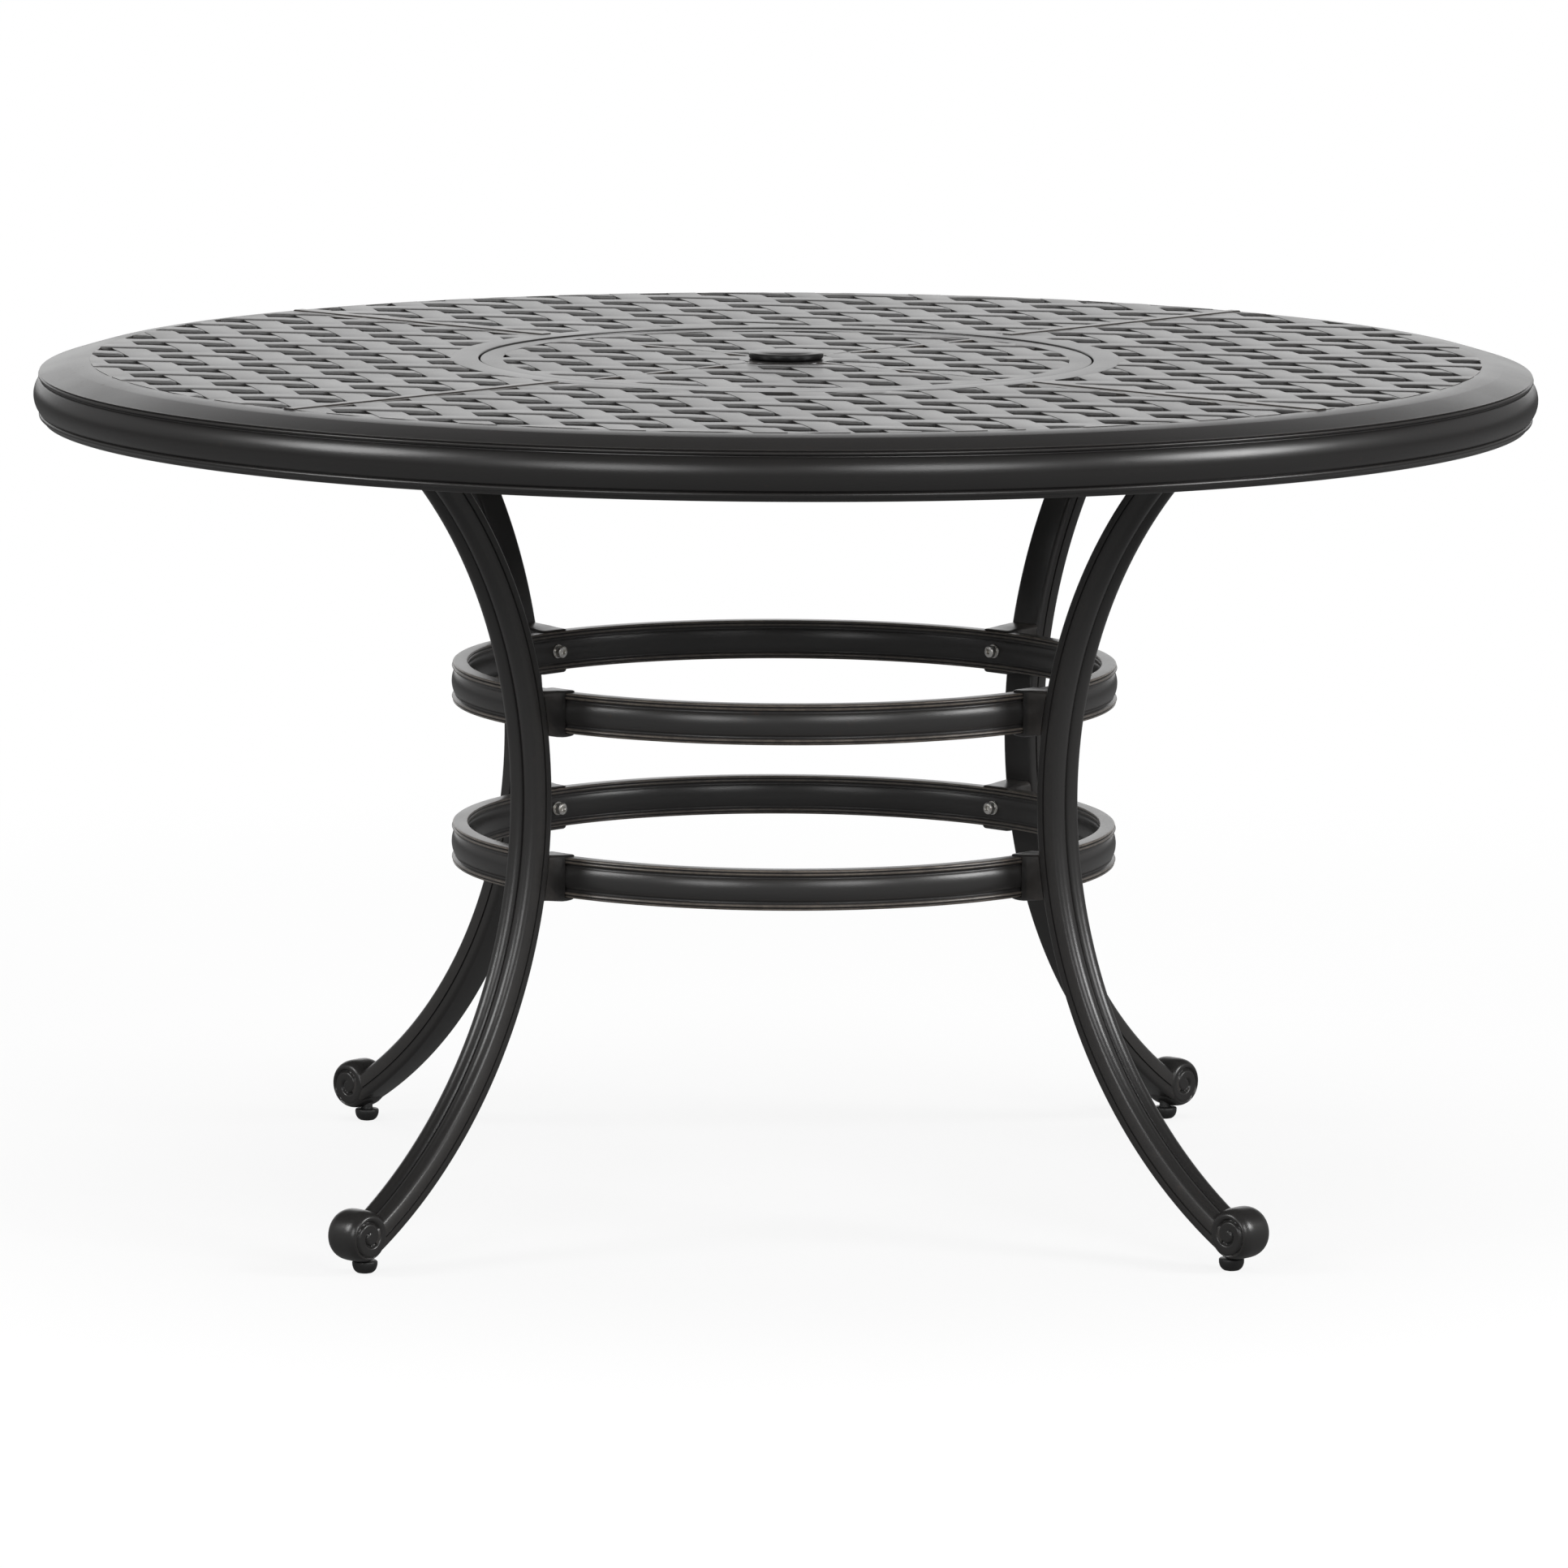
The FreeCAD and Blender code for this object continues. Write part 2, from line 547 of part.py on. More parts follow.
def make_leg(label, angle):
    """Reeded leg bowed in on one arc, with a scroll foot and a flange under the arm.

    The body's origin is the centre of the leg's arc, with X away from the table's axis.
    """
    body = new_body(label)
    half = "sizes.leg_width / 2"
    groove = "sizes.leg_width / 2 - sizes.reed_width"
    face = "-sizes.leg_face"
    crest = "-sizes.leg_face + sizes.reed_rise"
    section = new_sketch(body, "XY_Plane", "section")
    outline(section, [
        ("-sizes.leg_inner", "-" + half),
        (face, "-" + half),
        (crest, "-" + half + " + sizes.reed_bevel"),
        (crest, "-(" + groove + ") - sizes.reed_bevel"),
        (face, "-(" + groove + ")"),
        (face, groove),
        (crest, groove + " + sizes.reed_bevel"),
        (crest, half + " - sizes.reed_bevel"),
        (face, half),
        ("-sizes.leg_inner", half),
    ])
    bow = body.newObject("PartDesign::Revolution", "bow")
    bow.Profile = section
    bow.ReferenceAxis = (section, ["V_Axis"])
    bow.Type = "TwoAngles"
    bow.setExpression("Angle", "asin(sizes.leg_rise / (sizes.leg_face - sizes.reed_rise)) + 1 deg")
    bow.setExpression("Angle2", "asin(sizes.scroll_level / sizes.scroll_reach)")
    extrude(body, "level_top", [
        ("-sizes.leg_inner", "sizes.leg_rise"),
        ("0", "sizes.leg_rise"),
        ("0", "sizes.leg_rise + sizes.leg_arc_radius"),
        ("-sizes.leg_inner", "sizes.leg_rise + sizes.leg_arc_radius"),
    ], "2 * sizes.leg_width", kind="PartDesign::Pocket")
    extrude(body, "flange", [
        ("sizes.flange_inner - sizes.leg_arc_reach", "sizes.leg_rise - sizes.flange_thickness"),
        ("sizes.flange_outer - sizes.leg_arc_reach", "sizes.leg_rise - sizes.flange_thickness"),
        ("sizes.flange_outer - sizes.leg_arc_reach", "sizes.leg_rise"),
        ("sizes.flange_inner - sizes.leg_arc_reach", "sizes.leg_rise"),
    ], "sizes.flange_width")
    side = new_sketch(body, "XZ_Plane", "scroll_circle")
    circle(side, ("-sizes.scroll_run", "-sizes.scroll_level"), "sizes.scroll_radius")
    scroll = body.newObject("PartDesign::Pad", "scroll")
    scroll.Profile = side
    scroll.Midplane = True
    scroll.setExpression("Length", "sizes.scroll_width")
    hole_top = "sizes.glide_stud_top + sizes.rest_gap"
    post(body, "glide_hole", ("sizes.glide_reach - sizes.leg_arc_reach", "0"),
         "sizes.glide_stud_radius + sizes.running_clearance",
         hole_top + " - sizes.leg_waist_height", hole_top, kind="PartDesign::Pocket")
    place(body, angle, "sizes.leg_arc_reach", "sizes.leg_waist_height")
    return body


def make_leg_bolts():
    """Heads of the hexagon bolts that hold the legs' flanges to the arms."""
    level = size("arm_bottom") - size("flange_thickness") - size("leg_bolt_head_height")
    head = hexagon(size("leg_bolt_head"), size("leg_bolt_head_height"))
    bolts = []
    for reach in LEG_BOLTS:
        for _, angle in LEGS:
            copy = head.copy()
            copy.translate(VECTOR(value_of(reach), 0, level))
            bolts.append(turned(copy, angle))
    return new_piece("leg_bolts", Part.makeCompound(bolts))


def make_hoop(which):
    """Flat hoop with a crowned outer face that ties the legs."""
    body = new_body(which + "_hoop")
    edge = "sizes.hoop_radius - sizes.hoop_crown"
    half = "sizes.hoop_height / 2"
    revolve(body, "hoop", [
        ("sizes.hoop_inner", "-" + half),
        (edge, "-" + half),
        ("sizes.hoop_radius", "-" + half + " + sizes.hoop_turn"),
        ("sizes.hoop_radius", half + " - sizes.hoop_turn"),
        (edge, half),
        ("sizes.hoop_inner", half),
    ])
    place(body, 0, level="sizes.%s_hoop_level" % which)
    return body


def make_saddle(which, leg, angle):
    """Bracket between a hoop and a leg: a block that takes the hoop between two cheeks."""
    body = new_body("%s_saddle_%s" % (which, leg))
    level = "sizes.%s_hoop_level" % which
    lap = "sizes.hoop_radius - sizes.saddle_lap"
    back = "sizes.hoop_radius + sizes.seat_clearance"
    leg_curve = "(sizes.leg_inner + sizes.seat_clearance)"
    leg_side = "sizes.leg_arc_reach - sqrt(%s ^ 2 - (%s + %ssizes.saddle_half - sizes.leg_waist_height) ^ 2)"
    extrude(body, "saddle", [
        (lap, "-sizes.saddle_half"),
        (leg_side % (leg_curve, level, "-"), "-sizes.saddle_half"),
        (leg_side % (leg_curve, level, ""), "sizes.saddle_half"),
        (lap, "sizes.saddle_half"),
        (lap, "sizes.saddle_slot"),
        (back, "sizes.saddle_slot"),
        (back, "-sizes.saddle_slot"),
        (lap, "-sizes.saddle_slot"),
    ], "sizes.saddle_width", {1: (leg_curve, 1)})
    place(body, angle, level=level)
    return body


def make_hoop_nuts():
    """Nuts that hold the hoops in their saddles."""
    corner = size("nut_flats") / math.sqrt(3)
    seat = math.sqrt(size("hoop_inner") ** 2 - corner ** 2) - size("seat_clearance")
    nut = hexagon(size("nut_flats"), size("nut_height"))
    nut.rotate(VECTOR(0, 0, 0), VECTOR(0, 1, 0), -90)
    nuts = []
    for which in HOOPS:
        for _, angle in LEGS:
            copy = nut.copy()
            copy.translate(VECTOR(seat, 0, size(which + "_hoop_level")))
            nuts.append(turned(copy, angle))
    return new_piece("hoop_nuts", Part.makeCompound(nuts))


def make_glide(leg, angle):
    """Foot that screws into the scroll to level the table: twelve-sided, bevelled above, with a stud."""
    body = new_body("glide_" + leg)
    turns = [15 + 30 * step for step in range(12)]
    corner = "sizes.glide_radius * %s(%d deg)"
    corners = [(corner % ("cos", turn), corner % ("sin", turn)) for turn in turns]
    sketch = new_sketch(body, "XY_Plane", "foot_outline")
    outline(sketch, corners)
    foot = body.newObject("PartDesign::Pad", "foot")
    foot.Profile = sketch
    foot.setExpression("Length", "sizes.glide_height")
    bevel = body.newObject("PartDesign::Chamfer", "bevel")
    bevel.Base = (foot, ["Face%d" % (len(corners) + 2)])
    bevel.setExpression("Size", "sizes.glide_bevel")
    post(body, "stud", ("0", "0"), "sizes.glide_stud_radius", None, "sizes.glide_stud_top")
    place(body, angle, "sizes.glide_reach")
    return body


def check(pieces):
    """Stop if any object failed or any piece's shape is unusable."""
    for item in doc.Objects:
        if "Invalid" in item.State or "Error" in item.State:
            raise RuntimeError(item.Label + " failed: " + ", ".join(item.State))
    for piece in pieces:
        if piece.Shape.isNull() or not piece.Shape.isValid() or not piece.Shape.Solids:
            raise RuntimeError(piece.Label + " has no sound shape")


def main():
    fill_sheet()
    pieces = [make_top_frame()]
    pieces += [make_lattice_panel(*panel) for panel in PANELS]
    pieces += [make_turntable(), make_under_frame(), make_sleeve(), make_glide_pads(), make_plug()]
    for name, angle in LEGS:
        pieces += [make_leg("leg_" + name, angle), make_glide(name, angle)]
    pieces.append(make_leg_bolts())
    for which in HOOPS:
        pieces.append(make_hoop(which))
        pieces += [make_saddle(which, name, angle) for name, angle in LEGS]
    pieces.append(make_hoop_nuts())
    doc.recompute()
    check(pieces)
    os.makedirs("parts", exist_ok=True)
    for piece in pieces:
        piece.Shape.exportStep("parts/" + piece.Label + ".step")
        print(piece.Label, len(piece.Shape.Solids), round(piece.Shape.Volume))


main()
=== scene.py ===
"""Looks of the umbrella table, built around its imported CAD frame."""

import logging
import math
from collections.abc import Sequence
from dataclasses import dataclass, field
from enum import Enum

import bmesh
import bpy
from mathutils import Matrix, Vector


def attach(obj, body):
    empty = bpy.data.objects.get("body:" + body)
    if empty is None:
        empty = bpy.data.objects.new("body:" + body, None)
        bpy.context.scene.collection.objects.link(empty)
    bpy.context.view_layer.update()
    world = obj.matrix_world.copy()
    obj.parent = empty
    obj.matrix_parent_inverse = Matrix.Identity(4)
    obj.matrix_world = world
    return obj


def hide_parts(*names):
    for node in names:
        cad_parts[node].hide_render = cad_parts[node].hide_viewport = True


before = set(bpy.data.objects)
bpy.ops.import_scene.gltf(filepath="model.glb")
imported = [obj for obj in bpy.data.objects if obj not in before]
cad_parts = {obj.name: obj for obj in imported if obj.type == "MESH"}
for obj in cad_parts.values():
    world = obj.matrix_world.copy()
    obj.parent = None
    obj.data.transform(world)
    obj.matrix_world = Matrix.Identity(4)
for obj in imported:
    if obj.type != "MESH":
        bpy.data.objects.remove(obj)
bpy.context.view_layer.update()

LOG = logging.getLogger("umbrella_table")
MM = 0.001
HOOP_LEVELS = {"upper": 459.8, "lower": 316.7}
# The turntable's weave stops a hair short of a whole turn, so that its region's two straight sides stay apart.
NEARLY_WHOLE_TURN = 359.999
Point = tuple[float, float]
Point3 = tuple[float, float, float]
Color = tuple[float, float, float, float]


class Slot(Enum):
    """Material slots of the record."""

    CASTING = "coated_casting"
    FASTENER = "fastener"
    PLUG = "plug_plastic"
    GLIDE = "glide_plastic"


class Corner(Enum):
    """The four legs by name, with their angle about the table's axis in degrees."""

    FRONT_LEFT = 225
    FRONT_RIGHT = 315
    BACK_RIGHT = 45
    BACK_LEFT = 135

    @property
    def label(self) -> str:
        """Name of the leg as the CAD nodes spell it."""
        return self.name.lower()

    @property
    def turn(self) -> float:
        """Angle about the table's axis in radians."""
        return math.radians(self.value)


# ---------------------------------------------------------------- nodes


class Signal:
    """A node's output that takes part in Python arithmetic by adding Math nodes."""

    def __init__(self, tree: "Nodes", socket: bpy.types.NodeSocket) -> None:
        """Wrap one output socket of a tree."""
        self.tree = tree
        self.socket = socket

    def math(self, operation: str, *others: "Signal | float") -> "Signal":
        """Math node with this signal as its first input.

        Args:
            operation: name of the Math node's operation.
            others: its further inputs in order.

        Returns:
            The result.
        """
        return self.tree.math(operation, self, *others)

    def __add__(self, other: "Signal | float") -> "Signal":
        """Sum."""
        return self.math("ADD", other)

    def __radd__(self, other: float) -> "Signal":
        """Sum with the number first."""
        return self.tree.math("ADD", other, self)

    def __sub__(self, other: "Signal | float") -> "Signal":
        """Difference."""
        return self.math("SUBTRACT", other)

    def __rsub__(self, other: float) -> "Signal":
        """Difference with the number first."""
        return self.tree.math("SUBTRACT", other, self)

    def __mul__(self, other: "Signal | float") -> "Signal":
        """Product."""
        return self.math("MULTIPLY", other)

    def __rmul__(self, other: float) -> "Signal":
        """Product with the number first."""
        return self.tree.math("MULTIPLY", other, self)

    def __truediv__(self, other: "Signal | float") -> "Signal":
        """Quotient."""
        return self.math("DIVIDE", other)

    def __mod__(self, other: "Signal | float") -> "Signal":
        """Remainder."""
        return self.math("FLOORED_MODULO", other)

    def above(self, low: float, high: float) -> "Signal":
        """Smooth step from 0 at low to 1 at high.

        Args:
            low: value at which the step leaves 0.
            high: value at which it reaches 1.

        Returns:
            The stepped signal.
        """
        settings = {"interpolation_type": "SMOOTHSTEP"}
        inputs = {"Value": self, "From Min": low, "From Max": high}
        return self.tree.node("ShaderNodeMapRange", settings, inputs).out()


@dataclass
class Placed:
    """A node that has been added to a tree."""

    tree: "Nodes"
    item: bpy.types.Node

    def out(self, name: str | int = 0) -> Signal:
        """One of the node's outputs."""
        return Signal(self.tree, self.item.outputs[name])


class Nodes:
    """Builder for a node tree, of a material or of Geometry Nodes."""

    def __init__(self, tree: bpy.types.NodeTree) -> None:
        """Take over an empty tree."""
        self.tree = tree

    def node(self, kind: str, settings: dict | None = None, inputs: dict | None = None) -> Placed:
        """Add a node.

        Args:
            kind: the node's type.
            settings: its own settings, which are made first.
            inputs: values or signals for its sockets, by name or number.

        Returns:
            The placed node.
        """
        item = self.tree.nodes.new(kind)
        for name, value in (settings or {}).items():
            setattr(item, name, value)
        for name, value in (inputs or {}).items():
            socket = item.inputs[name]
            if isinstance(value, Signal):
                self.tree.links.new(value.socket, socket)
            else:
                socket.default_value = value
        return Placed(self, item)

    def math(self, operation: str, *values: Signal | float) -> Signal:
        """Math node on values and signals in order."""
        return self.node("ShaderNodeMath", {"operation": operation}, dict(enumerate(values))).out()

    def mix(self, factor: Signal, low: Signal | Color, high: Signal | Color) -> Signal:
        """Colour that goes from one to the other as the factor goes from 0 to 1."""
        return self.node("ShaderNodeMix", {"data_type": "RGBA"}, {"Factor": factor, 6: low, 7: high}).out(2)

    def noise(self, place: Signal, scale: float, detail: float, rough: float = 0.5) -> Signal:
        """Noise of one scale over a surface, from 0 to 1."""
        return self.node("ShaderNodeTexNoise", None, {
            "Vector": place, "Scale": scale, "Detail": detail, "Roughness": rough}).out("Fac")

    def vector(self, x: Signal | float = 0.0, y: Signal | float = 0.0, z: Signal | float = 0.0) -> Signal:
        """Vector of three numbers."""
        return self.node("ShaderNodeCombineXYZ", None, {"X": x, "Y": y, "Z": z}).out()

    def surface(self, inputs: dict) -> None:
        """Close a material's tree with one principled shader."""
        shader = self.node("ShaderNodeBsdfPrincipled", None, inputs)
        self.node("ShaderNodeOutputMaterial", None, {"Surface": shader.out()})

    def deliver(self, geometry: Signal, finish: Signal) -> None:
        """Close a geometry tree: realised, given its finish and put out.

        Args:
            geometry: what the tree has built.
            finish: signal of its material.
        """
        real = self.node("GeometryNodeRealizeInstances", None, {"Geometry": geometry}).out()
        dressed = self.node("GeometryNodeSetMaterial", None, {"Geometry": real, "Material": finish}).out()
        self.node("NodeGroupOutput", None, {"Mesh": dressed})


def new_material(name: str) -> tuple[bpy.types.Material, Nodes]:
    """Material with an empty tree, and the builder for its nodes.

    Args:
        name: name of the material.

    Returns:
        The material and the builder.
    """
    material = bpy.data.materials.new(name)
    material.use_nodes = True
    material.node_tree.nodes.clear()
    return material, Nodes(material.node_tree)


def new_tree(name: str, source: str, numbers: Sequence[str], counts: Sequence[str] = ()) -> tuple[Nodes, Placed]:
    """Geometry Nodes tree that takes a geometry and numbers, and puts out a mesh.

    Args:
        name: the tree's name.
        source: name of the geometry that comes in.
        numbers: names of its float inputs.
        counts: names of its whole-number inputs.

    Returns:
        The builder for its nodes, and its input node.
    """
    tree = bpy.data.node_groups.new(name, "GeometryNodeTree")
    inputs = [(source, "Geometry")] + [(label, "Float") for label in numbers]
    inputs += [(label, "Int") for label in counts] + [("Finish", "Material")]
    for label, kind in inputs:
        tree.interface.new_socket(label, in_out="INPUT", socket_type="NodeSocket" + kind)
    tree.interface.new_socket("Mesh", in_out="OUTPUT", socket_type="NodeSocketGeometry")
    nodes = Nodes(tree)
    return nodes, nodes.node("NodeGroupInput")


# ---------------------------------------------------------------- finishes


@dataclass(frozen=True)
class PowderCoat:
    """Baked dark coat on cast metal: satin, finely dimpled, with brown rubbed in here and there and pale edges."""

    name: str = "powder_coat"
    color: Color = (0.0155, 0.0146, 0.0142, 1)
    rub_color: Color = (0.050, 0.030, 0.020, 1)
    edge_color: Color = (0.105, 0.092, 0.082, 1)
    edge_wear: float = 0.35
    edge_start: float = 0.515
    edge_full: float = 0.60
    roughness: float = 0.29
    dimple: float = 0.10
    dimple_depth: float = 0.0004
    specular: float = 0.55
    cloud_scale: float = 9.0
    speck_scale: float = 95.0
    grit_scale: float = 420.0
    peel_scale: float = 700.0
    noise_roughness: float = 0.55
    speck_roughness: float = 0.7
    rub_specks: Point = (0.60, 0.74)
    rub_clouds: Point = (0.48, 0.66)
    rub_strength: float = 0.6
    wear_specks: Point = (0.35, 0.65)

    def material(self) -> bpy.types.Material:
        """Build the material.

        Returns:
            A material that reads object coordinates only.
        """
        material, nodes = new_material(self.name)
        place = nodes.node("ShaderNodeTexCoord").out("Object")
        cloud = nodes.noise(place, self.cloud_scale, 4.0, self.noise_roughness)
        grit = nodes.noise(place, self.grit_scale, 3.0, self.noise_roughness)
        speck = nodes.noise(place, self.speck_scale, 5.0, self.speck_roughness)
        peel = nodes.noise(place, self.peel_scale, 2.0, self.noise_roughness)
        edge = nodes.node("ShaderNodeNewGeometry").out("Pointiness").above(self.edge_start, self.edge_full)
        rub = speck.above(*self.rub_specks) * cloud.above(*self.rub_clouds) * self.rub_strength
        rubbed = nodes.mix(rub, self.color, self.rub_color)
        wear = edge * self.edge_wear * (0.5 + speck.above(*self.wear_specks) * 0.5)
        shade = nodes.mix(wear, rubbed, self.edge_color)
        bump = nodes.node("ShaderNodeBump", None, {
            "Strength": self.dimple, "Distance": self.dimple_depth, "Height": peel + grit * 0.6}).out()
        nodes.surface({
            "Base Color": shade,
            "Roughness": self.roughness - 0.06 + cloud * 0.10 + grit * 0.05 + rub * 0.12,
            "Metallic": 0.0,
            "Specular IOR Level": self.specular,
            "Normal": bump,
        })
        return material


@dataclass(frozen=True)
class BrightZinc:
    """Zinc-plated steel of the nuts and bolts."""

    name: str = "bright_zinc"
    color: Color = (0.86, 0.85, 0.82, 1)
    stain: Color = (0.50, 0.47, 0.42, 1)
    stain_scale: float = 260.0
    roughness: float = 0.36

    def material(self) -> bpy.types.Material:
        """Build the material.

        Returns:
            A metallic material with faint stains.
        """
        material, nodes = new_material(self.name)
        place = nodes.node("ShaderNodeTexCoord").out("Object")
        stain = nodes.noise(place, self.stain_scale, 4.0).above(0.45, 0.7)
        shade = nodes.mix(stain, self.color, self.stain)
        nodes.surface({"Base Color": shade, "Metallic": 1.0, "Roughness": self.roughness + stain * 0.14})
        return material


@dataclass(frozen=True)
class MouldedPlastic:
    """Plain moulded plastic with a faint grain."""

    name: str
    color: Color
    roughness: float = 0.45
    grain: float = 0.15
    grain_depth: float = 0.0003
    grain_scale: float = 900.0
    scuff_scale: float = 60.0

    def material(self) -> bpy.types.Material:
        """Build the material.

        Returns:
            A matte material with a fine grain.
        """
        material, nodes = new_material(self.name)
        place = nodes.node("ShaderNodeTexCoord").out("Object")
        grain = nodes.noise(place, self.grain_scale, 2.0)
        scuff = nodes.noise(place, self.scuff_scale, 4.0)
        darker = tuple(channel * 0.6 for channel in self.color[:3]) + (1.0,)
        shade = nodes.mix(scuff.above(0.4, 0.7), self.color, darker)
        bump = nodes.node("ShaderNodeBump", None, {
            "Strength": self.grain, "Distance": self.grain_depth, "Height": grain}).out()
        nodes.surface({"Base Color": shade, "Roughness": self.roughness - 0.05 + scuff * 0.1, "Normal": bump})
        return material


@dataclass
class Finishes:
    """All finishes of the table, made once."""

    coat: bpy.types.Material = field(default_factory=lambda: PowderCoat().material())
    # Lighter copy of the same coat for the legs and saddles: its brighter base colour is painted light, not a
    # different paint.
    leg_coat: bpy.types.Material = field(
        default_factory=lambda: PowderCoat("leg_powder_coat", (0.0240, 0.0230, 0.0224, 1)).material())
    # Lighter copy of the same coat for the hoops: its brighter base colour is painted light; its stronger pale edges
    # stand for wear.
    worn_coat_painted_light: bpy.types.Material = field(
        default_factory=lambda: PowderCoat("worn_powder_coat", (0.0290, 0.0280, 0.0275, 1),
                                           edge_color=(0.17, 0.145, 0.122, 1), edge_wear=1.0,
                                           edge_start=0.505, edge_full=0.56).material())
    zinc: bpy.types.Material = field(default_factory=lambda: BrightZinc().material())
    plug_side: bpy.types.Material = field(
        default_factory=lambda: MouldedPlastic("plug_black", (0.010, 0.010, 0.010, 1), 0.3).material())
    glide: bpy.types.Material = field(
        default_factory=lambda: MouldedPlastic("glide_black", (0.018, 0.018, 0.018, 1), 0.4).material())


# ---------------------------------------------------------------- meshes


def build_mesh(name: str, points: Sequence[Point3], faces: Sequence[tuple], smooth: float = 32.0) -> bpy.types.Mesh:
    """Mesh in metres from points in millimetres, with outward normals.

    Args:
        name: the mesh's name.
        points: vertices in millimetres.
        faces: their faces.
        smooth: angle in degrees past which an edge stays sharp.

    Returns:
        The mesh.
    """
    mesh = bpy.data.meshes.new(name)
    mesh.from_pydata([Vector(point) * MM for point in points], [], faces)
    work = bmesh.new()
    work.from_mesh(mesh)
    bmesh.ops.remove_doubles(work, verts=work.verts, dist=1e-6)
    bmesh.ops.recalc_face_normals(work, faces=work.faces)
    work.to_mesh(mesh)
    work.free()
    shade(mesh, smooth)
    return mesh


def skin(name: str, rows: list[list[Point3]], smooth: float = 32.0, wrap: bool = False) -> bpy.types.Mesh:
    """Closed mesh over a list of rings.

    Args:
        name: the mesh's name.
        rows: rings of points in millimetres, all the same length and direction.
        smooth: angle in degrees past which an edge stays sharp.
        wrap: whether the last ring joins the first; if not, both get a flat cap.

    Returns:
        The mesh.
    """
    count = len(rows[0])
    faces = []
    for row in range(len(rows) if wrap else len(rows) - 1):
        low = row * count
        high = ((row + 1) % len(rows)) * count
        for step in range(count):
            following = (step + 1) % count
            faces.append((low + step, low + following, high + following, high + step))
    if not wrap:
        faces.append(tuple(reversed(range(count))))
        faces.append(tuple(range((len(rows) - 1) * count, len(rows) * count)))
    return build_mesh(name, [point for row in rows for point in row], faces, smooth)


def prism(name: str, outline: Sequence[Point], levels: Sequence[float]) -> bpy.types.Mesh:
    """Closed solid that stands on an outline in X and Y and runs up through the levels."""
    return skin(name, [[(x, y, level) for x, y in outline] for level in levels])


def bar(name: str, section: Sequence[Point], start: float, end: float) -> bpy.types.Mesh:
    """Closed bar along X, with its section in Y and Z."""
    return skin(name, [[(reach, y, z) for y, z in section] for reach in (start, end)])


def polar(radius: float, turn: float) -> Point:
    """Point at a radius and an angle in radians."""
    return radius * math.cos(turn), radius * math.sin(turn)


def sag(radius: float, offset: float) -> float:
    """How far an arc has fallen back from its crest at an offset from it."""
    return radius - math.sqrt(radius ** 2 - offset ** 2)


def shade(mesh: bpy.types.Mesh, angle: float) -> None:
    """Smooth shading with edges past an angle in degrees kept sharp."""
    mesh.shade_smooth()
    mesh.set_sharp_from_angle(angle=math.radians(angle))


def lathe(name: str, profile: Sequence[Point], segments: int, smooth: float = 32.0) -> bpy.types.Mesh:
    """Turn a profile of radius and height round the table's axis.

    Args:
        name: the mesh's name.
        profile: closed outline in millimetres; it may touch the axis.
        segments: steps round the axis.
        smooth: angle in degrees past which an edge stays sharp.

    Returns:
        The mesh.
    """
    rows = []
    for step in range(segments):
        turn = 2 * math.pi * step / segments
        rows.append([(*polar(radius, turn), height) for radius, height in profile])
    return skin(name, rows, smooth, True)


def arc_points(centre: Point, radius: float, start: float, end: float, steps: int) -> list[Point]:
    """Points on an arc, angles in degrees, both ends included."""
    turns = [math.radians(start + (end - start) * step / steps) for step in range(steps + 1)]
    return [(centre[0] + radius * math.cos(turn), centre[1] + radius * math.sin(turn)) for turn in turns]


def rounded(corners: Sequence[tuple[float, float, float]], steps: int = 4) -> list[Point]:
    """Closed outline whose corners are rounded.

    Args:
        corners: two coordinates and a radius each; radius 0 keeps the corner.
        steps: segments in each rounding.

    Returns:
        The outline's points.
    """
    outline = []
    count = len(corners)
    for index, (x, y, radius) in enumerate(corners):
        here = Vector((x, y))
        if radius == 0:
            outline.append((x, y))
            continue
        back = Vector(corners[index - 1][:2]) - here
        ahead = Vector(corners[(index + 1) % count][:2]) - here
        reach = radius / math.tan(back.angle(ahead) / 2)
        reach = min(reach, back.length * 0.49, ahead.length * 0.49)
        first = here + back.normalized() * reach
        last = here + ahead.normalized() * reach
        for step in range(steps + 1):
            share = step / steps
            spot = first.lerp(here, share).lerp(here.lerp(last, share), share)
            outline.append((spot.x, spot.y))
    return outline


def place_mesh(mesh: bpy.types.Mesh, turn: float = 0.0, offset: Point3 = (0, 0, 0)) -> bpy.types.Mesh:
    """Move a mesh by an offset in millimetres, then turn it about the table's axis."""
    mesh.transform(Matrix.Rotation(turn, 4, "Z") @ Matrix.Translation(Vector(offset) * MM))
    return mesh


def join_meshes(name: str, meshes: Sequence[bpy.types.Mesh], smooth: float = 32.0) -> bpy.types.Mesh:
    """One mesh that holds several.

    Args:
        name: name of the joined mesh.
        meshes: the meshes, all in place.
        smooth: angle in degrees past which an edge stays sharp.

    Returns:
        The joined mesh.
    """
    work = bmesh.new()
    for mesh in meshes:
        work.from_mesh(mesh)
    joined = bpy.data.meshes.new(name)
    work.to_mesh(joined)
    work.free()
    shade(joined, smooth)
    return joined


def show(name: str, mesh: bpy.types.Mesh, material: bpy.types.Material, node: str, body: str = "base") -> None:
    """Put a finished piece in the scene on its body and hide the CAD node that it stands for.

    Args:
        name: the piece's name.
        mesh: its mesh, in place.
        material: its finish.
        node: CAD node that it stands for.
        body: CAD body that it moves with.
    """
    mesh.name = name
    if not mesh.materials:
        mesh.materials.append(material)
    piece = bpy.data.objects.new(name, mesh)
    bpy.context.scene.collection.objects.link(piece)
    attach(piece, body)
    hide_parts(node)
    LOG.info("%s: %d faces on %s", name, len(mesh.polygons), body)


